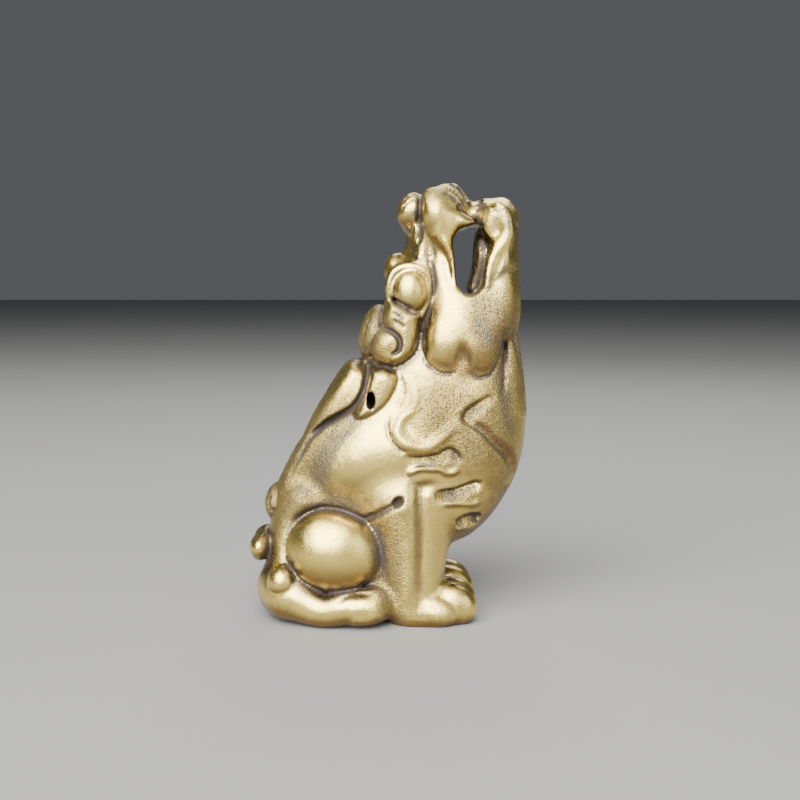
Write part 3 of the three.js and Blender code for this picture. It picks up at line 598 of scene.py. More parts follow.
@dataclass(frozen=True)
class Tail:
    """Tip of the tail low on the back, its tuft higher up, and the curl against the haunch."""

    curl: Point = (-12.0, 7, 5.15)

    def forms(self) -> list[Form]:
        """Tip, tuft and curl."""
        return [
            Lock(((-15, 1, 7.5, 1.1), (-15, 1, 8.2, 1.25), (-14.7, 1, 8.7, 1.0)), 2.0, melt=0.35),
            Egg((-13.4, 0, 13.1), (1.2, 2.8, 2.1), -10, melt=0.35),
            Egg(self.curl, (1.65, 1.9, 1.8), melt=0.15),
        ]


@dataclass(frozen=True)
class Mane:
    """The strip of mane down the spine and the lobe behind the head."""

    strip: Sequence[Bead] = (
        (-4.0, 0, 28.4, 1.45), (-5.0, 0, 26.8, 1.6), (-6.3, 0, 24.7, 1.6), (-7.5, 0, 22.7, 1.55),
        (-8.75, 0, 20.4, 1.45), (-9.9, 0, 18.5, 1.25), (-10.8, 0, 16.9, 1.0), (-11.5, 0, 15.7, 0.7),
    )

    def forms(self) -> list[Form]:
        """Strip with its root in the back, and lobe."""
        root = [(x + 1.2, y, z - 0.9, radius) for x, y, z, radius in self.strip]
        return [
            Lock(root, 3.15, melt=0.9),
            Lock(self.strip, 3.15, melt=0.9),
            Egg((-1.7, 0, 33), (1.65, 5.0, 3.3), -15, melt=0.4),
        ]


@dataclass(frozen=True)
class Head:
    """Skull, throat and the two jaws' cores, with the beard below the chin."""

    nape_of_snout: Sequence[Spot] = (
        (2.9, 45.6), (4.8, 46.4), (6.5, 45.6), (7.4, 43.0), (7.7, 39.0), (7.4, 36.0), (3.2, 36.0),
        (2.6, 40.0), (2.8, 43.0),
    )

    def forms(self) -> list[Form]:
        """Beard, then the skull."""
        return [
            Lock(
                ((13.4, 0, 36.4, 1.5), (13.8, 0, 33.0, 1.35), (14.2, 0, 28.6, 1.4), (14.5, 0, 23.8, 1.4)),
                2.8, melt=1.0,
            ),
            Melted(
                (
                    Egg((4.3, 0, 36.7), (4.45, 5.8, 6.1), melt=1.2),
                    Egg((9.3, 0, 36.1), (5.6, 6.5, 5.3), melt=1.5),
                    Lock(((1.9, 0, 38.5, 1.75), (1.3, 0, 34.4, 1.85), (0.9, 0, 30.9, 1.75)), 2.7, melt=1.2),
                    Lock(((12.2, 0, 38.2, 2.8), (12.2, 0, 35.4, 2.9)), 2.1, melt=1.2),
                    Plate(self.nape_of_snout, 4.2, 1.8, melt=1.2),
                    Lock(
                        (
                            (12.1, 0, 34.2, 2.6), (13.3, 0, 38.5, 1.75), (13.7, 0, 42.5, 1.4),
                            (13.2, 0, 46, 1.8),
                        ),
                        2.6, melt=1.0,
                    ),
                ),
                melt=0.3,
            ),
        ]


@dataclass(frozen=True)
class Snout:
    """Upper lip with its rim, nose with its bridge, brow and front teeth."""

    lobe: Sequence[Spot] = (
        (3.7, 48.4), (4.8, 49.2), (6.1, 49.9), (7.5, 50.0), (8.2, 49.5), (8.9, 48.7), (9.35, 47.8),
        (9.1, 46.9), (8.4, 46.2), (7.6, 45.2), (6.8, 44.2), (6.2, 43.2), (5.6, 43.1), (4.9, 43.8),
        (4.2, 44.6), (3.6, 45.3), (3.4, 46.4),
    )
    rim: Sequence[Spot] = (
        (5.9, 46.8), (6.7, 47.2), (7.8, 47.0), (8.9, 46.3), (9.8, 45.5), (9.0, 44.9), (8.1, 44.6),
        (7.5, 43.9), (7.3, 43.2), (7.5, 41.5), (7.7, 40.2), (7.9, 38.3), (7.2, 38.3), (6.9, 39.9),
        (6.7, 41.2), (6.2, 42.2), (5.4, 43.2), (4.8, 44.4),
    )

    def forms(self) -> list[Form]:
        """Lobe with its core and rim, nose and its wings, bridge, brow, nostril, and the front teeth."""
        return [
            Melted(
                (
                    Plate(self.lobe, 4.0, 2.0, 0, 0.8, 2.6, -0.14, melt=0.4),
                    Egg((5.5, 3.2, 46.4), (2.05, 2.6, 3.1), 12, melt=0.7),
                    Plate(self.rim, 1.5, 0.9, 3.8, 0.4, 1.0, -0.14, melt=0.9),
                    Egg((2.7, 0, 46.8), (1.5, 2.9, 2.3), -12, melt=0.5),
                    Egg((2.6, 1.9, 46.8), (1.55, 1.7, 1.9), -12, melt=0.9),
                    Lock(
                        ((3.2, 0, 45.6, 1.0), (2.9, 0, 43.6, 0.85), (2.6, 0, 42.0, 0.9), (1.9, 0, 40.4, 1.0)),
                        2.4, melt=0.8,
                    ),
                    Egg((0.7, 0.8, 40.2), (1.25, 2.1, 1.9), melt=1.3),
                    Egg((3.4, 1.6, 49.0), (0.5, 0.6, 0.6), act=Act.CUT, melt=0.3),
                    Lock(((8.9, 0, 46.6, 1.45), (11.2, 0, 46.4, 1.6)), 2.1, melt=0.6),
                ),
                melt=0.3,
            )
        ]


@dataclass(frozen=True)
class LowerJaw:
    """Lower jaw with its rolled lip."""

    side: Sequence[Spot] = (
        (10.3, 47.5), (10.8, 48.1), (11.8, 48.2), (12.9, 48.4), (13.7, 48.0), (14.3, 47.1), (14.8, 45.8),
        (14.9, 44.5), (14.8, 42.4), (14.7, 40.2), (13.1, 38.2), (11.4, 38.0), (10.7, 38.9), (11.0, 40.7),
        (11.5, 42.0), (12.0, 43.0), (11.4, 44.1), (10.4, 45.2), (10.0, 46.4),
    )
    rim: Sequence[Bead] = (
        (12.4, 4.7, 47.3, 0.4), (12.9, 4.9, 46.5, 0.5), (13.3, 5.0, 45.5, 0.6), (13.5, 5.0, 44.5, 0.65),
        (13.2, 5.1, 43.6, 0.65), (12.5, 5.2, 42.7, 0.65), (11.8, 5.3, 41.9, 0.6), (11.4, 5.5, 40.8, 0.6),
        (11.2, 5.6, 39.6, 0.6), (11.0, 5.7, 38.4, 0.6),
    )

    def forms(self) -> list[Form]:
        """Jaw with the pads inside its lip, chin bar and rim."""
        side = Plate(self.side, 4.8, 2.4, 0, 0.8, 2.4, -0.12, melt=0.4)
        pad = Egg((11.9, 3.5, 44.9), (1.5, 1.5, 1.9), 25, melt=0.8)
        filled = Egg((12.4, 3.7, 41.4), (1.5, 1.9, 2.8), melt=1.2)
        lip = Lock(((13.2, 0, 47.1, 1.0), (13.9, 0, 46.4, 1.0)), 4.3, melt=0.5)
        return [Melted((side, pad, filled, lip, Lock(self.rim, melt=0.9)), melt=0.35)]


@dataclass(frozen=True)
class Face:
    """Cheek, scrolled ear, lid and eye."""

    cheek: Sequence[Spot] = (
        (6.9, 39.2), (6.2, 39.8), (5.4, 39.4), (5.1, 38.2), (4.9, 36.8), (4.4, 34.6), (4.0, 31.8),
        (4.6, 30.0), (5.8, 29.0), (7.1, 29.1), (8.0, 29.9), (8.8, 29.2), (10.3, 28.6), (11.6, 29.3),
        (12.5, 31.7), (12.9, 35.2), (12.3, 37.8), (10.8, 38.2), (9.1, 37.5), (7.7, 38.3),
    )
    rise: Sequence[Bead] = (
        (5.5, 3.6, 43.4, 0.8), (5.8, 3.8, 41.6, 0.9), (6.2, 4.2, 39.8, 1.0), (6.8, 4.5, 37.8, 1.2),
    )
    ear: Sequence[Spot] = (
        (0.0, 37.0), (-0.5, 35.8), (-0.7, 34.6), (-0.5, 33.8), (-1.3, 33.3), (-1.8, 32.5), (-2.0, 31.3),
        (-1.4, 30.0), (-0.2, 29.2), (1.3, 29.3), (2.7, 30.2), (3.4, 31.4), (3.6, 32.8), (3.7, 34.4),
        (4.1, 35.5), (2.9, 36.0), (1.4, 36.8),
    )
    lid: Sequence[Bead] = (
        (0.3, 5.4, 36.9, 0.5), (0.2, 5.5, 38.6, 0.5), (0.7, 5.55, 39.8, 0.5), (1.6, 5.6, 40.4, 0.5),
        (2.7, 5.6, 40.5, 0.5), (3.8, 5.6, 40.2, 0.5), (4.6, 5.6, 39.3, 0.5), (4.8, 5.6, 37.9, 0.5),
        (4.6, 5.6, 36.4, 0.45), (3.8, 5.6, 35.1, 0.4),
    )
    socket: Point = (2.7, 2.9, 38.0)
    eye: Point = (2.5, 5.2, 37.75)
    eye_radii: Point = (2.1, 2.1, 2.6)

    def forms(self) -> list[Form]:
        """Cheek, ear, eye in its socket and lid, and the small drop at the corner of the eye."""
        return [
            Melted(
                (
                    Plate(self.cheek, 5.5, 1.9, 0, 0.7, 2.0, -0.14),
                    Lock(self.rise, melt=1.8),
                    Egg((12.6, 3.0, 36.5), (1.9, 3.1, 4.6), -8, melt=2.0),
                    Egg((8.3, 3.9, 33.0), (4.4, 3.7, 5.6), 0, melt=1.6),
                    Egg((6.4, 4.7, 31.6), (2.0, 2.3, 2.6), melt=1.6),
                    Egg((10.3, 4.7, 31.3), (2.2, 2.3, 2.7), melt=1.6),
                ),
                melt=0.7,
            ),
            Melted(
                (
                    Plate(self.ear, 2.1, 1.4, 4.0, 1.0, 1.8, melt=0.15),
                    Egg((-0.3, 5.2, 31.8), (1.2, 2.0, 1.3), melt=0.2),
                ),
                melt=0.2,
            ),
            Egg(self.socket, (3.0, 2.7, 3.2), melt=0.6),
            Lock(self.lid, melt=0.3),
            Egg(self.eye, self.eye_radii, melt=0.35),
            Egg((3.6, 3.8, 41.6), (0.4, 0.5, 0.45), melt=0.3),
        ]


@dataclass(frozen=True)
class Mouth:
    """The gap between the jaws, open from flank to flank, with the tongue on its lower side."""

    width: float = 3.3
    opening: Sequence[Spot] = (
        (8.6, 44.4), (9.3, 44.7), (10.2, 44.6), (10.9, 43.9), (11.5, 43.2), (11.4, 42.3), (10.9, 41.3),
        (10.5, 40.0), (10.4, 38.7), (9.9, 37.7), (9.0, 37.4), (8.4, 38.4), (8.1, 41.0), (8.2, 43.2),
    )

    def forms(self) -> list[Form]:
        """The gap cut through and its wider mouth, then the tongue."""
        r = self.width / 2
        gap = ((9.0, 0, 43.6, 0.75 * r), (9.3, 0, 42.3, r), (9.3, 0, 41.0, r), (9.2, 0, 39, 0.95 * r))
        return [
            Lock(gap, 12.0, act=Act.CUT),
            Plate(self.opening, 2.8, 0.6, 6.4, act=Act.CUT, melt=0.5),
            Lock(
                ((11.2, 0, 45.6, 0.95), (10.9, 0, 43.0, 1.05), (10.6, 0, 40.4, 0.95), (9.8, 0, 38.2, 0.7)),
                2.6, melt=0.4,
            ),
        ]


@dataclass(frozen=True)
class Lug:
    """The raised drop on each side of the neck and the cord hole through both, bent in the middle."""

    drop: Sequence[Spot] = (
        (-1.7, 29.1), (-0.4, 29.35), (0.7, 28.85), (1.25, 27.7), (0.9, 26.3), (0.05, 24.85), (-1.05, 23.85),
        (-2.3, 23.3), (-3.4, 23.3), (-3.9, 24.0), (-3.5, 24.9), (-3.05, 26.0), (-2.65, 27.3), (-2.2, 28.4),
    )
    mouth_of_hole: Point = (-1.9, 8.0, 25.65)
    hole_radii: Point = (0.48, 6.0, 0.98)

    def forms(self) -> list[Form]:
        """Drop, the tall oval mouth of the hole, and the narrow bore that joins it to the other side's."""
        x, _, z = self.mouth_of_hole
        return [
            Plate(self.drop, 2.3, 1.0, 4.4, 0.8, 1.5, melt=0.25),
            Egg(self.mouth_of_hole, self.hole_radii, act=Act.CUT, melt=0.25),
            Lock(((x, 5.0, z, 0.45), (x + 1.4, 0, z, 0.45)), act=Act.CUT, melt=0.1),
        ]


@dataclass(frozen=True)
class Relief:
    """Creases, ribs and hollows pressed into the flanks."""

    def forms(self) -> list[Form]:
        """All the marks, from the snout down."""
        return [*self.snout(), *self.head(), *self.shoulder(), *self.chest(), *self.haunch(), *self.hair()]

    def hair(self) -> list[Form]:
        """Strands of the chin and beard in front, and behind of the mane, the lobe and the tail's tuft."""
        front = (
            ((-0.6, 44.9), (1.2, 44.8), (2.8, 44.7), (4.3, 45.3)),
            ((0.8, 43.8), (1.2, 41.6), (0.7, 39.4), (0.9, 37.6)),
            ((2.4, 43.9), (2.9, 41.8), (2.2, 39.2), (2.5, 37.6)),
            ((0.15, 36.4), (0.5, 33.0), (0.1, 29.0), (0.5, 25.6), (0.3, 22.8)),
            ((1.3, 36.8), (1.8, 33.0), (1.3, 29.0), (1.8, 25.6), (1.2, 22.4)),
            ((2.6, 36.2), (3.2, 33.0), (2.6, 29.0), (2.9, 26.0), (2.0, 23.2)),
        )
        barbs = tuple(((0.25, z), (0.9, z - 0.7), (1.7, z - 1.8)) for z in np.arange(28.0, 18.0, -1.7))
        lobe = (
            ((0.0, 36.0), (0.1, 33.0), (0.0, 30.2)),
            ((1.5, 35.8), (1.8, 33.0), (1.4, 30.4)),
            ((3.1, 35.2), (3.5, 33.0), (3.0, 31.0)),
        )
        tail = (((0.0, 15.0), (0.0, 11.2)), ((1.2, 14.6), (1.5, 11.6)), ((2.2, 14.0), (2.4, 12.2)))
        return [
            *(Strand(way, 0.3, depth=0.26, inner=9.0) for way in front),
            *(Strand(way, 0.28, Side.BACK, depth=0.24, inner=-3.6) for way in barbs),
            *(Strand(way, 0.32, Side.BACK, depth=0.3, inner=-1.2) for way in lobe),
            *(Strand(way, 0.25, Side.BACK, depth=0.25, inner=-12.4) for way in tail),
        ]

    def snout(self) -> list[Form]:
        """Wrinkles over the lip, crease behind it, lines on the nose, bars of the lower jaw and a hollow."""
        wrinkles = (
            ((6.6, 49.9), (7.7, 49.4), (8.5, 48.6), (9.0, 47.8)),
            ((6.4, 49.4), (7.4, 48.9), (8.2, 48.1), (8.7, 47.3)),
            ((6.2, 48.8), (7.0, 48.4), (7.8, 47.6), (8.3, 46.9)),
        )
        crease = ((3.65, 49.3), (3.6, 47.4), (3.5, 45.7), (3.6, 44.2), (3.3, 42.9))
        nose = (((1.6, 47.6), (2.3, 48.4), (3.1, 48.8)), ((1.5, 46.9), (2.2, 47.8), (3.1, 48.3)))
        bars = (((9.9, z - 0.25), (10.7, z), (12.5, z)) for z in (48.2, 47.6, 46.9))
        return [
            *(Groove(way, 0.17, depth=0.36, inner=0.8) for way in wrinkles),
            Groove(crease, 0.3, depth=0.4, inner=1.2),
            *(Groove(way, 0.14, depth=0.14, inner=0.5) for way in nose),
            *(Groove(way, 0.14, depth=-0.14, inner=0.5) for way in bars),
            Hollow((4.9, 42.4), (0.7, 1.2), 20, 0.8, depth=0.3, inner=2.5),
        ]

    def head(self) -> list[Form]:
        """Scroll and lines of the ear, cut under the eye, notch and bead of the cheek, and its creases."""
        ear = (((0.5, 35.5), (1.2, 35.2), (2.0, 34.6)), ((0.5, 34.7), (1.2, 34.3), (2.0, 33.8)))
        return [
            Groove(
                ((-0.4, 33.6), (0.5, 33.3), (1.2, 32.6), (1.3, 31.7), (1.0, 31.1), (0.3, 30.7)),
                0.26, depth=0.75, inner=4,
            ),
            *(Groove(way, 0.17, depth=0.26) for way in ear),
            Groove(((0.2, 37.1), (1.5, 36.5), (2.8, 35.7)), 0.25, depth=0.4, inner=4),
            Hollow((8.3, 30.6), (0.75, 1.1), 0, 0.9, depth=0.55, inner=5),
            Egg((8.2, 5.8, 29.4), (0.7, 0.9, 1.3), melt=0.8),
            Groove(
                ((4.5, 41.7), (5.0, 39.6), (5.0, 37.7), (4.5, 35.5), (3.9, 33.3), (3.9, 31.0)),
                0.3, depth=0.3,
            ),
            Groove(
                ((3.9, 31.4), (4.3, 29.9), (5.6, 28.8), (6.9, 28.6), (7.6, 29.0)),
                0.2, depth=0.2, inner=4,
            ),
            Groove(
                ((8.7, 29.0), (10.2, 28.2), (11.8, 28.8), (12.8, 31.3), (13.2, 34.0)),
                0.2, depth=0.2, inner=3,
            ),
            Groove(((13.2, 33.0), (13.3, 31.0), (13.2, 28.5), (12.9, 26.0)), 0.3, depth=0.2, inner=1),
        ]

    def shoulder(self) -> list[Form]:
        """Valley beside the mane, ring beside the lug, ribbon of the shoulder, disc inside it and a line."""
        return [
            Groove(
                (
                    (-2.3, 29.3), (-2.5, 27.6), (-2.9, 26.2), (-3.9, 24.8), (-5.4, 23.8), (-7.1, 22.8),
                    (-8.9, 21.2),
                ),
                0.32, (False, True), depth=0.42, inner=1,
            ),
            Groove(
                ((-7.4, 22.6), (-8.9, 21.2), (-10.0, 19.4), (-11.2, 17.5), (-11.6, 16.1)),
                0.3, depth=0.25, inner=3.4,
            ),
            Groove(((1.0, 28.7), (1.7, 27.5), (1.6, 26.0), (0.8, 24.5)), 0.25, depth=0.14, inner=4),
            Groove(
                (
                    (2.4, 28.4), (3.0, 26.9), (3.0, 25.7), (2.5, 24.6), (1.4, 23.5), (1.1, 22.1), (1.8, 21.1),
                    (3.1, 20.6), (4.6, 20.6), (6.0, 21.5), (7.2, 22.5), (8.5, 23.4),
                ),
                0.55, depth=-0.28,
            ),
            Groove(
                ((2.2, 24.2), (2.1, 22.9), (3.0, 21.9), (4.1, 21.6), (5.1, 22.3), (6.6, 23.4), (7.8, 23.9)),
                0.5, depth=0.18, shelf=2.0,
            ),
            Groove(((0.2, 24.2), (-0.1, 23.0), (0.2, 21.6), (1.2, 20.4), (2.4, 19.8)), 0.22, depth=0.18),
        ]

    def chest(self) -> list[Form]:
        """Leaf of the chest, three pockets with bright lower lips, and the hollow over the front leg."""
        return [
            Groove(
                (
                    (12.1, 25.8), (11.2, 25.9), (9.9, 25.3), (9.0, 24.7), (8.5, 24.0), (8.8, 23.3),
                    (9.9, 22.6), (10.8, 21.9), (11.4, 21.1), (12.1, 20.4), (13.1, 19.5), (13.7, 18.3),
                    (13.9, 17.1), (13.4, 15.8),
                ),
                0.32, depth=0.5, inner=1, shelf=1.3,
            ),
            Hollow((9.5, 24.3), (1.3, 0.7), 40, 0.6, depth=0.3, inner=3),
            Groove(((8.5, 24.1), (8.1, 25.0)), 0.25, depth=-0.25),
            Groove(
                (
                    (1.8, 19.5), (3.2, 19.4), (4.6, 19.5), (5.7, 19.7), (6.2, 20.0), (6.9, 20.2), (7.5, 19.9),
                    (7.9, 19.3), (7.9, 18.7),
                ),
                0.28, depth=0.6, shelf=-1.5,
            ),
            Groove(
                (
                    (2.3, 17.4), (2.6, 17.8), (3.6, 18.2), (4.8, 18.2), (5.9, 18.0), (6.6, 17.6), (7.5, 17.7),
                    (8.0, 18.3),
                ),
                0.32, depth=-0.34,
            ),
            Groove(
                ((5.1, 15.3), (6.4, 15.4), (7.5, 15.5), (8.5, 15.9), (9.7, 16.3), (10.6, 16.1)),
                0.28, depth=0.6, inner=3, shelf=-1.5,
            ),
            Groove(((6.1, 14.1), (7.9, 14.0), (9.7, 13.8), (10.5, 14.3)), 0.32, depth=-0.24, inner=3),
            Groove(
                ((7.6, 11.6), (8.6, 12.2), (9.7, 12.4), (10.6, 12.2)),
                0.28, depth=0.65, inner=2, shelf=-1.2,
            ),
            Groove(((7.6, 10.8), (8.3, 10.9), (9.4, 10.9), (10.3, 11.4)), 0.3, depth=-0.24, inner=2),
            Hollow((4.2, 16.1), (1.1, 0.6), 0, 1.0, depth=0.35, inner=4),
        ]

    def haunch(self) -> list[Form]:
        """Line over the thigh with the pit at its end, groove of the front leg and line of the hind toes."""
        return [
            Groove(
                (
                    (-11.0, 11.2), (-10.1, 12.1), (-9.0, 12.8), (-7.1, 13.2), (-5.5, 13.1), (-4.2, 12.6),
                    (-2.8, 12.2), (-1.9, 12.6), (-0.1, 13.7), (0.8, 14.2),
                ),
                0.36, (True, False), depth=0.32,
            ),
            Hollow((1.1, 14.5), (0.55, 0.45), 35, 0.6, depth=0.6, inner=5),
            Groove(
                ((3.6, 16.7), (3.6, 14.7), (3.6, 11.3), (3.5, 7.9), (3.4, 4.4), (3.3, 1.0)),
                0.75, depth=0.4, inner=4, clean=True,
            ),
            Groove(
                ((-5.6, 2.9), (-5.1, 3.5), (-4.3, 3.9), (-3.0, 4.0), (-1.4, 4.0)),
                0.28, depth=0.18, inner=4,
            ),
        ]


# From field to surface

EDGES = ((0, 1), (2, 3), (4, 5), (6, 7), (0, 2), (1, 3), (4, 6), (5, 7), (0, 4), (1, 5), (2, 6), (3, 7))
FACES = ((0, 1, 3, 2), (4, 5, 7, 6), (0, 1, 5, 4), (2, 3, 7, 6), (0, 2, 6, 4), (1, 3, 7, 5))


def patch_table() -> Array:
    """For each pattern of a cell's filled corners, the patch of surface that each of its edges belongs to.

    Crossed edges that share a face are joined. Where a face has four, each filled corner keeps its two.

    Returns:
        A 256 by 12 table, -1 where an edge isn't crossed.
    """
    edge_of = {frozenset(e): i for i, e in enumerate(EDGES)}
    table = np.full((256, 12), -1)
    for pattern in range(256):
        full = [(pattern >> c) & 1 for c in range(8)]
        group = {i: i for i, (a, b) in enumerate(EDGES) if full[a] != full[b]}

        def root(i: int) -> int:
            """The first edge of the patch that edge i is in."""
            while group[i] != i:
                i = group[i]
            return i

        for face in FACES:
            cut = [edge_of[frozenset((face[i], face[(i + 1) % 4]))] for i in range(4)]
            hit = [e for e in cut if e in group]
            if len(hit) == 2:
                group[root(hit[0])] = root(hit[1])
            elif len(hit) == 4:
                for i in range(4):
                    if full[face[i]]:
                        group[root(cut[i - 1])] = root(cut[i])
        roots = sorted({root(i) for i in group})
        for i in group:
            table[pattern, i] = roots.index(root(i))
    return table


@dataclass(frozen=True)
class Skin:
    """Draws the closed surface of a field that is alike on both sides of y = 0.

    Each grid cell that the surface passes through gets one point for each patch, at the mean of its edge
    crossings, and each crossed grid edge gets a four-sided face between the four cells around it. The grid's
    step is across in y and along in x and z. The field is exact within band mm of the surface.
    """

    across: float = 0.37
    along: float = 0.222
    band: float = 2.0
    low: Point = (-17.6, 0.0, -2.6)
    high: Point = (17.4, 12.0, 51.4)

    def axes(self) -> tuple[Array, Array, Array]:
        """Grid positions in x, y of one side, and z."""
        x = np.arange(self.low[0], self.high[0] + self.along, self.along)
        y = self.across * np.arange(int(self.high[1] / self.across) + 2)
        z = np.arange(self.low[2], self.high[2] + self.along, self.along)
        return x, y, z

    def sample(self, shape: Field) -> tuple[Array, tuple[Array, Array, Array]]:
        """The field on the whole grid: exact near the surface, and from a 1 mm grid elsewhere.

        Args:
            shape: the field.

        Returns:
            The values and the three axes.
        """
        x, y, z = self.axes()
        coarse = [np.arange(a[0] - 1, a[-1] + 2) for a in (x, y, z)]
        grid = np.meshgrid(*coarse, indexing="ij")
        rough = shape(*(g.ravel() for g in grid)).reshape(grid[0].shape)
        index = [np.rint(a - c[0]).astype(int) for a, c in zip((x, y, z), coarse)]
        values = rough[np.ix_(*index)]
        i, j, k = np.nonzero(np.abs(values) < self.band)
        values[i, j, k] = shape(x[i], y[j], z[k])
        both = np.concatenate([values[:, :0:-1], values], axis=1)
        return both, (x, np.concatenate([-y[:0:-1], y]), z)

    def draw(self, shape: Field) -> tuple[Array, Array]:
        """Points and four-sided faces of the surface.

        Args:
            shape: the field.

        Returns:
            Points in mm, and faces as rows of four point numbers, turned outwards.
        """
        values, axes = self.sample(shape)
        table = patch_table()
        cells = [n - 1 for n in values.shape]
        pattern = np.zeros(cells, int)
        for c in range(8):
            window = tuple(slice((c >> n) & 1, cells[n] + ((c >> n) & 1)) for n in range(3))
            pattern |= (values[window] < 0).astype(int) << c
        count = (table.max(1) + 1)[pattern]
        first = np.cumsum(count.ravel()).reshape(pattern.shape) - count
        total = np.zeros((int(count.sum()), 3))
        hits = np.zeros(len(total))
        faces = []
        for axis in range(3):
            lower, upper = [slice(None)] * 3, [slice(None)] * 3
            lower[axis], upper[axis] = slice(0, -1), slice(1, None)
            near, far = values[tuple(lower)], values[tuple(upper)]
            where = list(np.nonzero((near < 0) != (far < 0)))
            kept = np.ones(len(where[0]), bool)
            u, v = (n for n in range(3) if n != axis)
            for other in (u, v):
                kept &= (where[other] > 0) & (where[other] < values.shape[other] - 1)
            where = [w[kept] for w in where]
            a, b = near[tuple(where)], far[tuple(where)]
            spot = np.stack([axes[n][where[n]] for n in range(3)], 1)
            spot[:, axis] += a / (a - b) * (axes[axis][where[axis] + 1] - axes[axis][where[axis]])
            ring = []
            for du, dv in ((0, 0), (1, 0), (1, 1), (0, 1)):
                cell = [w.copy() for w in where]
                cell[u] -= du
                cell[v] -= dv
                start = (du << u) | (dv << v)
                edge = EDGES.index((start, start | (1 << axis)))
                point = first[tuple(cell)] + table[pattern[tuple(cell)], edge]
                np.add.at(total, point, spot)
                np.add.at(hits, point, 1)
                ring.append(point)
            quads = np.stack(ring, 1)
            turn = (a >= 0) if axis != 1 else (a < 0)
            quads[turn] = quads[turn][:, ::-1]
            faces.append(quads)
        return total / hits[:, None], np.vstack(faces)


def slope_of(shape: Field, points: Array, step: float = 0.02) -> Array:
    """Slope of the field at each point, from the change over a small step along each axis."""
    here = shape(*points.T)
    return np.stack([shape(*(points + np.eye(3)[n] * step).T) - here for n in range(3)], 1) / step


# The casting


@dataclass(frozen=True)
class Zone:
    """A soft-edged ellipse in the side view where the casting is grainy, painted with shade or darkened, by
    an amount.
    """

    at: Spot
    radii: Spot
    tilt: float = 0.0
    amount: float = 1.0

    def value(self, x: Array, z: Array) -> Array:
        """Amount at each point: a bell curve of the scaled distance."""
        dx, dz = turned(x - self.at[0], z - self.at[1], self.tilt)
        return self.amount * np.exp(-((dx / self.radii[0]) ** 2) - (dz / self.radii[1]) ** 2)


@dataclass(frozen=True)
class Ripple:
    """Smooth noise of one size, in mm, from one random lattice, times a height."""

    size: float
    height: float
    seed: int

    def value(self, points: Array, turn: int = 0) -> Array:
        """Height at each point, from the lattice that many after its own."""
        return lattice_noise(*points.T, self.size, self.seed + turn) * self.height


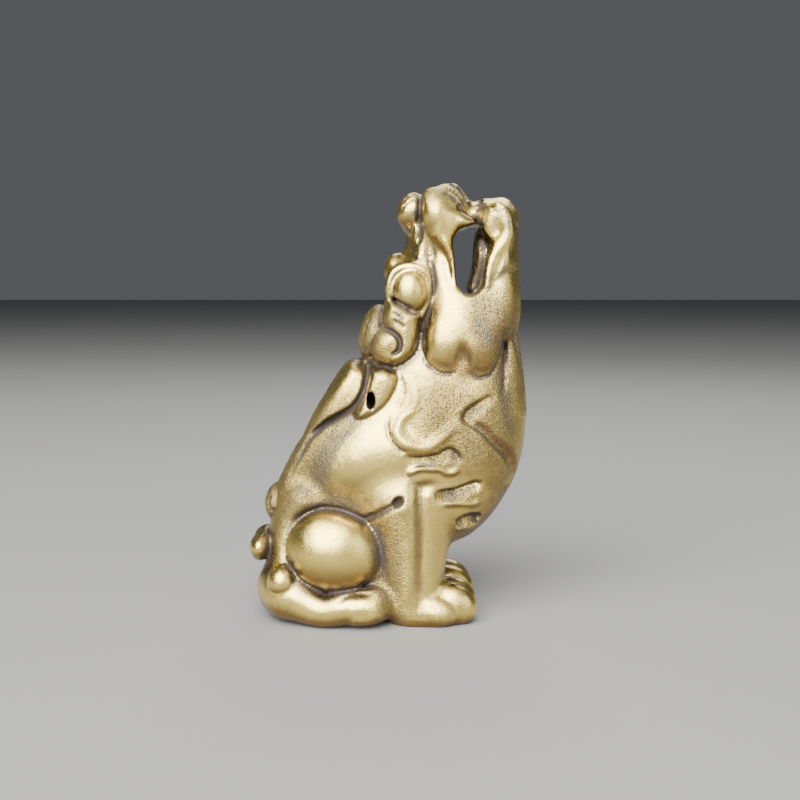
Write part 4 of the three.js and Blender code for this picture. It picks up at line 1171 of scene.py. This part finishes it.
@dataclass(frozen=True)
class Casting:
    """The whole figure as one closed mesh, with the values that its finish reads stored at each point.

    Those are how hollow, crested and grainy a point is, how much painted shade it takes below and in the
    shaded zones, how sunk it is in the marks and the darkened zones, with painted shade inside the mouth, and
    how far other metal faces it, which the finish also paints as shade. crevice and shelter are the steps
    outwards over which the first and last of them are measured. stray is how far the maker's hand strayed,
    broad and fine are the roughness of the casting, grainy says where it is rough, shaded_zones where painted
    shade is laid on and darkened_zones where the marks are darker, the last two on the flanks only.
    """

    node: str = "beast_figure"
    slot: str = "brass"
    skin: Skin = field(default_factory=Skin)
    settling: int = 2
    least_slope: float = 0.05
    steepness: Spot = (0.25, 1.0)
    # where surfaces that face down start to take painted shade, and over how much of the normal it comes in
    shaded_from: float = 0.15
    shaded_over: float = 0.8
    most_sunk: float = 2.2
    crevice: Sequence[float] = (0.25, 0.6, 1.2)
    shelter: Sequence[float] = (2.4,)
    flank: float = 3.0
    stray: Sequence[Ripple] = (Ripple(2.3, 0.09, 20), Ripple(1.1, 0.035, 30))
    stray_outward: float = 0.25
    broad: Sequence[Ripple] = (Ripple(2.4, 0.025, 3), Ripple(0.9, 0.011, 4))
    fine: Sequence[Ripple] = (Ripple(0.6, 0.35, 5), Ripple(0.36, 0.65, 8))
    fine_height: Spot = (0.008, 0.035)
    grainy: Sequence[Zone] = (
        Zone((-8.0, 21.0), (2.6, 7.5), -38, 1.2),
        Zone((-9.0, 16.4), (2.6, 3.0), 0, 1.2),
        Zone((-12.5, 13.0), (2.0, 5.0), 0),
        Zone((6.0, 25.0), (4.2, 4.2)),
        Zone((9.5, 21.5), (3.0, 3.5)),
        Zone((13.2, 23.0), (2.2, 9.0)),
        Zone((14.0, 32.0), (1.5, 5.0)),
        Zone((0.2, 6.8), (2.2, 7.5), 0, 1.3),
        Zone((-6.0, 14.2), (5.5, 1.2), 0, 0.8),
        Zone((6.2, 48.6), (3.5, 1.2)),
        Zone((-1.7, 33.0), (1.8, 3.2)),
        Zone((6.0, 19.0), (2.2, 0.8)),
        Zone((8.5, 14.8), (2.2, 0.9)),
        Zone((9.0, 11.6), (1.6, 0.8)),
        Zone((10.6, 35.0), (2.6, 4.2), 0, 0.9),
        Zone((6.4, 1.6), (2.2, 1.6), 0, 0.5),
        Zone((1.6, 35.0), (2.0, 2.0), 0, 0.5),
    )

    # painted shade: zones on the flanks given the brown underside colour, such as the cheek's lower edge, the
    # neck and the hind foot
    shaded_zones: Sequence[Zone] = (
        Zone((3.5, 8.5), (0.6, 8.0), 0, 0.8),
        Zone((8.4, 30.0), (4.8, 2.4), 0, 0.8),
        Zone((11.2, 33.8), (2.2, 4.2), 0, 0.5),
        Zone((6.0, 25.0), (3.6, 3.4), 0, 0.3),
        Zone((-6.0, 1.8), (5.0, 1.6), 0, 0.3),
        Zone((-5.8, 4.6), (4.5, 1.3), 0, 0.6),
        Zone((0.5, 31.0), (3.0, 1.6), 0, 0.4),
    )

    # zones on the flanks that are made darker, mostly along creases
    darkened_zones: Sequence[Zone] = (
        Zone((-0.7, 8.0), (0.8, 4.6), 0, 1.8),
        Zone((-2.6, 12.6), (1.2, 0.9), -30, 0.9),
        Zone((8.6, 27.6), (4.6, 0.9), 0, 0.6),
        Zone((1.6, 27.2), (0.8, 2.2), 20, 0.5),
        Zone((4.6, 41.6), (0.9, 1.8), 20, 0.9),
        Zone((10.9, 47.5), (1.4, 1.0), 0, 0.9),
        Zone((-9.6, 18.6), (1.0, 5.0), -32, 0.5),
    )

    def forms(self) -> list[Form]:
        """Every form of the beast, in the order in which they are melted."""
        out: list[Form] = []
        for part in (
            Torso(), Hindquarters(), FrontLeg(), Tail(), Mane(), Head(),
            Snout(), LowerJaw(), Face(), Mouth(), Lug(), Relief(),
        ):
            made = part.forms()
            LOG.info("%s: %d forms", type(part).__name__, len(made))
            out += made
        return out

    def shape(self) -> Field:
        """The figure's field, with both flanks alike."""
        forms = self.forms()

        def value(x: Array, y: Array, z: Array) -> Array:
            """Field at each point, mm."""
            return melted(forms, x, np.abs(y), z)

        return value

    def build(self) -> bpy.types.Object:
        """Draws, settles and roughens the surface, and stores what the finish reads.

        Each point is settled onto the surface by Newton's steps along the field's slope.

        Returns:
            The figure's object, at the origin, in metres.
        """
        shape = self.shape()
        points, quads = self.skin.draw(shape)
        longest = 0.5 * self.skin.along
        for _ in range(self.settling):
            slope = slope_of(shape, points)
            size = np.maximum((slope**2).sum(1), self.least_slope)
            step = -(shape(*points.T) / size)[:, None] * slope
            length = np.maximum(np.linalg.norm(step, axis=1), TINY)
            points = points + step * np.minimum(1, longest / length)[:, None]
        steep = np.linalg.norm(slope, axis=1)
        normal = slope / np.maximum(steep, TINY)[:, None]
        # painted shade: the more a surface faces down, the more of the brown underside colour it takes
        under = ease((self.shaded_from - normal[:, 2]) / self.shaded_over)
        grain = self.grain(points)
        marks = {
            "hollow": self.hollowness(shape, points, normal, steep, self.crevice),
            "crest": self.crestness(shape, points),
            "grain": grain,
            # painted shade: downward faces and the shaded zones
            "under": np.maximum(under, np.clip(self.on_flank(self.shaded_zones, points), 0, 1)),
            "sunk": np.clip(self.sunkness(points) + self.on_flank(self.darkened_zones, points), 0, self.most_sunk),
            # how shut in by other metal a point is; the finish paints this as olive shade
            "facing": self.hollowness(shape, points, normal, steep, self.shelter),
        }
        rough = self.unevenness(points, grain)
        points = points + self.strayed(points, normal) + normal * rough[:, None]
        points[:, 2] = np.maximum(points[:, 2], 0)
        LOG.info("%s: %d points, %d faces", self.node, len(points), len(quads))
        return self.mesh(points, quads, marks)

    def grain(self, points: Array) -> Array:
        """How grainy each point is, from 0 to 1."""
        return np.clip(sum(zone.value(points[:, 0], points[:, 2]) for zone in self.grainy), 0, 1)

    def on_flank(self, zones: Sequence[Zone], points: Array) -> Array:
        """Sum of the zones at each point, and 0 nearer the middle than the level flank."""
        total = sum(zone.value(points[:, 0], points[:, 2]) for zone in zones)
        return total * (np.abs(points[:, 1]) > self.flank)

    def hollowness(
        self, shape: Field, points: Array, normal: Array, steep: Array, reaches: Sequence[float]
    ) -> Array:
        """How shut in each point is, from 0 to 1.

        One less the field at a step outwards, over what its slope promises there, as a mean over the steps.

        Args:
            shape: the field.
            points: places on the surface, mm.
            normal: outward direction at each.
            steep: the field's slope at each.
            reaches: lengths of the steps, mm.

        Returns:
            The share at each point.
        """
        out = np.zeros(len(points))
        for reach in reaches:
            gap = shape(*(points + normal * reach).T) / (reach * np.clip(steep, *self.steepness))
            out += np.clip(1 - gap, 0, 1) / len(reaches)
        return out

    def sunkness(self, points: Array, full: float = 0.5, mouth: float = 1.2, lip: float = 0.25) -> Array:
        """How deep each point lies in the pressed marks, and more inside the mouth as painted shade.

        The marks' depths added up, over the depth full and up to 1, and the mouth's amount of painted shade
        where the point is inside the form that opens it.

        Args:
            points: places on the surface, mm.
            full: depth that counts as 1, mm.
            mouth: painted shade added inside the mouth.
            lip: distance from the form on both sides of which the mouth's amount comes in, mm.

        Returns:
            The sum at each point.
        """
        x, y, z = points[:, 0], np.abs(points[:, 1]), points[:, 2]
        total = np.zeros(len(points))
        for form in Relief().forms():
            if isinstance(form, Pressed) and form.depth > 0 and not form.clean:
                i = form.near(x, y, z)
                total[i] += form.value(x[i], y[i], z[i])
        gap = Mouth().forms()[0]
        i = gap.near(x, y, z)
        inside = np.zeros(len(points))
        inside[i] = ease((lip - gap.value(x[i], y[i], z[i])) / (2 * lip))
        # painted shade: the mouth's inside gets more of the dark colour
        return np.clip(total / full, 0, 1) + mouth * inside

    def crestness(self, shape: Field, points: Array, reach: float = 0.45, gain: float = 2.2) -> Array:
        """How raised each point is, from 0 to 1: the field's mean around it over the reach, times gain."""
        ways = [sign * reach * np.eye(3)[n] for n in range(3) for sign in (-1, 1)]
        around = sum(shape(*(points + way).T) for way in ways)
        return np.clip(around / (len(ways) * reach) * gain, 0, 1)

    def strayed(self, points: Array, normal: Array) -> Array:
        """How far in mm the hand strayed at each point: noise in x, y and z, mostly along the surface."""
        away = np.stack([sum(ripple.value(points, n) for ripple in self.stray) for n in range(3)], 1)
        return away - (1 - self.stray_outward) * (away * normal).sum(1)[:, None] * normal

    def unevenness(self, points: Array, grain: Array) -> Array:
        """Height in mm of the casting's skin: broad ripples, and fine ones that grow with the grain."""
        broad = sum(ripple.value(points) for ripple in self.broad)
        fine = sum(ripple.value(points) for ripple in self.fine)
        smooth, grainy = self.fine_height
        return broad + fine * (smooth + grainy * grain)

    def mesh(self, points: Array, quads: Array, marks: dict[str, Array]) -> bpy.types.Object:
        """Puts the surface into a mesh.

        Args:
            points: places in mm.
            quads: rows of four point numbers.
            marks: values for each point, stored as attributes.

        Returns:
            The object that stands for the CAD node.
        """
        data = bpy.data.meshes.new(self.node)
        data.vertices.add(len(points))
        data.loops.add(quads.size)
        data.polygons.add(len(quads))
        data.vertices.foreach_set("co", (points * MM).astype(np.float32).ravel())
        data.loops.foreach_set("vertex_index", quads.astype(np.int32).ravel())
        data.polygons.foreach_set("loop_start", np.arange(0, quads.size, 4, dtype=np.int32))
        data.polygons.foreach_set("use_smooth", np.ones(len(quads), bool))
        data.update(calc_edges=True)
        data.validate()
        for name, values in marks.items():
            data.attributes.new(name, "FLOAT", "POINT").data.foreach_set("value", values.astype(np.float32))
        piece = bpy.data.objects.new("beast_casting", data)
        bpy.context.scene.collection.objects.link(piece)
        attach(piece, "root")
        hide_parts(self.node)
        return piece


# Finishes


def new_material(name: str) -> tuple[bpy.types.Material, bpy.types.NodeTree, bpy.types.Node]:
    """A material with an empty tree but for its output and Principled shader."""
    material = bpy.data.materials.new(name)
    material.use_nodes = True
    tree = material.node_tree
    tree.nodes.clear()
    shader = tree.nodes.new("ShaderNodeBsdfPrincipled")
    out = tree.nodes.new("ShaderNodeOutputMaterial")
    tree.links.new(shader.outputs["BSDF"], out.inputs["Surface"])
    return material, tree, shader


@dataclass(frozen=True)
class Wires:
    """Short ways to place and join nodes in one tree."""

    tree: bpy.types.NodeTree

    def feed(self, socket: Socket, value: object) -> None:
        """Links a socket to another, or sets its own value."""
        if isinstance(value, Socket):
            self.tree.links.new(value, socket)
        else:
            socket.default_value = value

    def attribute(self, name: str) -> Socket:
        """A value stored on the mesh."""
        node = self.tree.nodes.new("ShaderNodeAttribute")
        node.attribute_name = name
        return node.outputs["Fac"]

    def noise(self, size: float, detail: float = 2.0, roughness: float = 0.5) -> Socket:
        """Noise with features of that size in mm, on Object coordinates."""
        place = self.tree.nodes.new("ShaderNodeTexCoord")
        node = self.tree.nodes.new("ShaderNodeTexNoise")
        node.inputs["Scale"].default_value = 1 / (size * MM)
        node.inputs["Detail"].default_value = detail
        node.inputs["Roughness"].default_value = roughness
        self.tree.links.new(place.outputs["Object"], node.inputs["Vector"])
        return node.outputs["Fac"]

    def math(self, how: str, a: object, b: object = 0.0, clamp: bool = False) -> Socket:
        """A Math node of the two values."""
        node = self.tree.nodes.new("ShaderNodeMath")
        node.operation = how
        node.use_clamp = clamp
        self.feed(node.inputs[0], a)
        self.feed(node.inputs[1], b)
        return node.outputs[0]

    def ramp(self, value: object, low: float, high: float, out: Spot = (0.0, 1.0)) -> Socket:
        """The value carried from low..high to out, eased and kept inside it."""
        node = self.tree.nodes.new("ShaderNodeMapRange")
        node.interpolation_type = "SMOOTHSTEP"
        for name, level in (("From Min", low), ("From Max", high), ("To Min", out[0]), ("To Max", out[1])):
            node.inputs[name].default_value = level
        self.feed(node.inputs["Value"], value)
        return node.outputs["Result"]

    def mix(self, share: object, a: object, b: object) -> Socket:
        """Colour a towards b by share."""
        node = self.tree.nodes.new("ShaderNodeMix")
        node.data_type = "RGBA"
        self.feed(node.inputs["Factor"], share)
        self.feed(node.inputs["A"], a)
        self.feed(node.inputs["B"], b)
        return node.outputs["Result"]

    def bump(self, height: Socket, depth: float, strength: float) -> Socket:
        """Bump of that depth in mm."""
        node = self.tree.nodes.new("ShaderNodeBump")
        node.inputs["Distance"].default_value = depth * MM
        self.feed(node.inputs["Strength"], strength)
        self.tree.links.new(height, node.inputs["Height"])
        return node.outputs["Normal"]


@dataclass(frozen=True)
class CastBrass:
    """Brass rubbed bright on its high forms, grainy where cast, dark in the creases, with painted shade below
    and between forms.

    Sizes are in mm. A band is the two values between which an effect comes in, and a cover is the most that
    it hides of what lies below it.
    """

    bright: Colour = (0.9, 0.685, 0.185, 1.0)
    cast: Colour = (0.33, 0.245, 0.068, 1.0)
    # painted shade, for surfaces that face down and for the shaded zones
    underside_shade: Colour = (0.27, 0.165, 0.06, 1.0)
    # painted shade, olive, where other metal stands close around
    olive_shade: Colour = (0.28, 0.225, 0.125, 1.0)
    # grime in the creases and pits, and painted shade inside the mouth
    grime_and_shade: Colour = (0.06, 0.045, 0.042, 1.0)
    mottle_size: float = 1.6
    speck_size: float = 0.19
    fleck_gain: float = 2.6
    sunk_share: float = 0.32
    crease_band: Spot = (0.32, 0.66)
    pit_share: float = 0.38
    pit_band: Spot = (0.36, 0.6)
    pit_cover: float = 0.9
    crest_share: float = 0.7
    underside_shade_mottle: float = 0.35
    underside_shade_band: Spot = (0.0, 1.0)
    cast_band: Spot = (0.1, 1.0)
    cast_cover: float = 0.8
    hollow_share: float = 1.5
    olive_shade_band: Spot = (0.03, 0.5)
    olive_shade_cover: float = 0.9
    grime_and_shade_cover: float = 0.92
    metal_band: Spot = (0.2, 1.0)
    metallic: Spot = (1.0, 0.35)
    specular: float = 0.2
    rough_band: Spot = (0.1, 0.9)
    roughness: Spot = (0.25, 0.37)
    grime_and_shade_roughness: float = 0.25
    bump_band: Spot = (0.0, 0.9)
    bump_height: Spot = (0.24, 1.0)
    bump_depth: float = 0.16
    bump_strength: float = 0.9

    def build(self) -> bpy.types.Material:
        """The material, reading the figure's own hollow, crest, grain, under, sunk and facing values."""
        material, tree, shader = new_material("cast_brass")
        w = Wires(tree)
        mottle = w.math("SUBTRACT", w.noise(self.mottle_size, detail=3.0, roughness=0.6), 0.5)
        speck = w.noise(self.speck_size, roughness=0.65)
        grain = w.attribute("grain")
        dark = self.dark(w, mottle, speck)
        grime_and_shade_share = w.math("MULTIPLY", dark, self.grime_and_shade_cover)
        w.feed(shader.inputs["Base Color"], w.mix(grime_and_shade_share, self.tone(w, mottle), self.grime_and_shade))
        w.feed(shader.inputs["Metallic"], w.ramp(dark, *self.metal_band, self.metallic))
        shader.inputs["Specular IOR Level"].default_value = self.specular
        smooth = w.ramp(grain, *self.rough_band, self.roughness)
        dull = w.math("MULTIPLY", dark, self.grime_and_shade_roughness)
        w.feed(shader.inputs["Roughness"], w.math("ADD", smooth, dull, clamp=True))
        height = w.math("MULTIPLY", speck, w.ramp(grain, *self.bump_band, self.bump_height))
        w.feed(shader.inputs["Normal"], w.bump(height, self.bump_depth, self.bump_strength))
        return material

    def dark(self, w: Wires, mottle: Socket, speck: Socket) -> Socket:
        """Share of grime and shade: grime in hollows and sunk lines, broken up by mottle and flecks, and in
        the pits; painted shade in the mouth.
        """
        flecks = w.math("MULTIPLY", w.math("SUBTRACT", 0.5, speck), self.fleck_gain)
        sunk = w.math("MULTIPLY", w.attribute("sunk"), self.sunk_share)
        level = w.math("ADD", w.attribute("hollow"), sunk)
        level = w.math("ADD", w.math("ADD", level, mottle), flecks)
        pitted = w.math("ADD", w.math("MULTIPLY", w.attribute("grain"), self.pit_share), flecks)
        pits = w.ramp(pitted, *self.pit_band, (0.0, self.pit_cover))
        return w.math("MAXIMUM", w.ramp(level, *self.crease_band), pits, clamp=True)

    def tone(self, w: Wires, mottle: Socket) -> Socket:
        """Colour of the clean metal: bright, cast, painted shade in brown below and in olive where metal
        faces it.
        """
        rough_cast = w.math("ADD", w.attribute("grain"), mottle)
        tone = w.mix(w.ramp(rough_cast, *self.cast_band, (0.0, self.cast_cover)), self.bright, self.cast)
        # painted shade below, less on the crests and broken up by mottle
        crest = w.math("MULTIPLY", w.attribute("crest"), self.crest_share)
        shaded = w.math("SUBTRACT", w.attribute("under"), crest)
        shaded = w.math("ADD", shaded, w.math("MULTIPLY", mottle, self.underside_shade_mottle))
        tone = w.mix(w.ramp(shaded, *self.underside_shade_band), tone, self.underside_shade)
        # painted shade: olive where other metal faces the point or the point lies in a hollow
        shut_in = w.math("MULTIPLY", w.attribute("hollow"), self.hollow_share)
        shut_in = w.math("MAXIMUM", w.attribute("facing"), shut_in)
        return w.mix(w.ramp(shut_in, *self.olive_shade_band, (0.0, self.olive_shade_cover)), tone, self.olive_shade)


@dataclass(frozen=True)
class PaleFloor:
    """Matt pale paper under the figure."""

    colour: Colour = (0.25, 0.247, 0.24, 1.0)
    roughness: float = 0.75

    def build(self) -> bpy.types.Material:
        """The material."""
        material, _, shader = new_material("pale_floor")
        shader.inputs["Base Color"].default_value = self.colour
        shader.inputs["Roughness"].default_value = self.roughness
        return material


# Studio


@dataclass(frozen=True)
class Studio:
    """Floor, lights and camera, with the camera where the photograph's was. Lengths are in mm."""

    distance: float = 138.0
    eye_height: float = 39.05
    aside: float = 1.345
    focal_px: float = 1179.9
    frame_px: float = 800.0
    pitch: float = 5.807
    sensor: float = 36.0
    nearest: float = 5.0
    floor_x: Spot = (-1500.0, 1500.0)
    floor_y: Spot = (-800.0, 2200.0)
    floor_points: int = 9
    sky: Colour = (0.80, 0.84, 0.9, 1.0)
    sky_strength: float = 0.12

    def build(self) -> None:
        """Places the floor, the world, the lights and the camera."""
        self.floor()
        self.world()
        self.lights()
        self.camera()

    def floor(self) -> None:
        """One large flat sheet that the figure stands on: z = 0 on a square grid in x and y."""
        n = self.floor_points
        x, y = np.meshgrid(np.linspace(*self.floor_x, n), np.linspace(*self.floor_y, n), indexing="ij")
        grid = np.stack([x, y, 0 * x], -1).reshape(-1, 3)
        i, j = np.meshgrid(np.arange(n - 1), np.arange(n - 1), indexing="ij")
        corner = (i * n + j).ravel()
        faces = np.stack([corner, corner + n, corner + n + 1, corner + 1], 1)
        data = bpy.data.meshes.new("floor_sheet")
        data.from_pydata((grid * MM).tolist(), [], faces.tolist())
        data.polygons.foreach_set("use_smooth", np.ones(len(faces), bool))
        sheet = bpy.data.objects.new("floor_sheet", data)
        data.materials.append(PaleFloor().build())
        bpy.context.scene.collection.objects.link(sheet)
        sheet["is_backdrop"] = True

    def world(self) -> None:
        """Dim even light from all round."""
        world = bpy.data.worlds.new("studio")
        world.use_nodes = True
        back = world.node_tree.nodes["Background"]
        back.inputs["Color"].default_value = self.sky
        back.inputs["Strength"].default_value = self.sky_strength
        bpy.context.scene.world = world

    def lights(self) -> None:
        """A large soft box up and to the left, one overhead, a fill from the right and a small one behind."""
        self.lamp("key_light", (-150, -410, 370), (0, 0, 25), 600, 15.5)
        self.lamp("top_light", (60, -60, 520), (0, 0, 25), 520, 0.6)
        self.lamp("right_fill", (380, -330, 190), (0, 0, 25), 380, 1.0)
        self.lamp("back_light", (60, 240, 260), (0, 0, 30), 200, 0.5)

    def lamp(self, name: str, at: Point, towards: Point, size: float, power: float) -> None:
        """A square area light of that size in mm and power in watts, aimed at a point."""
        data = bpy.data.lights.new(name, "AREA")
        data.size = size * MM
        data.energy = power
        lamp = bpy.data.objects.new(name, data)
        lamp.location = np.array(at) * MM
        out = np.subtract(at, towards)
        flat = math.hypot(out[0], out[1])
        lamp.rotation_euler = (math.atan2(flat, out[2]), 0.0, math.atan2(out[0], -out[1]))
        bpy.context.scene.collection.objects.link(lamp)

    def camera(self) -> None:
        """The camera, looking along +Y and a little down at the beast's near flank."""
        data = bpy.data.cameras.new("camera")
        data.sensor_width = self.sensor
        data.lens = self.focal_px * self.sensor / self.frame_px
        camera = bpy.data.objects.new("camera", data)
        camera.location = (self.aside * MM, -self.distance * MM, self.eye_height * MM)
        camera.rotation_euler = (math.radians(90 - self.pitch), 0.0, 0.0)
        data.clip_start = self.nearest * MM
        bpy.context.scene.collection.objects.link(camera)
        bpy.context.scene.camera = camera


def note_sizes() -> None:
    """Writes the CAD model's box and the visual model's, as plain lists."""
    boxes = {"cad": CAD_BOX, "visual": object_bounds()}
    plain = {name: [[float(v) for v in corner] for corner in box] for name, box in boxes.items()}
    LOG.info("sizes: %s", plain)


def main() -> None:
    """Builds the figure, its finish and the studio."""
    logging.basicConfig(level=logging.INFO, format="%(name)s: %(message)s")
    figure = Casting().build()
    figure.data.materials.append(CastBrass().build())
    LOG.info("%s: dressed in %s", figure.name, figure.data.materials[0].name)
    Studio().build()
    note_sizes()


if __name__ == "__main__":
    main()
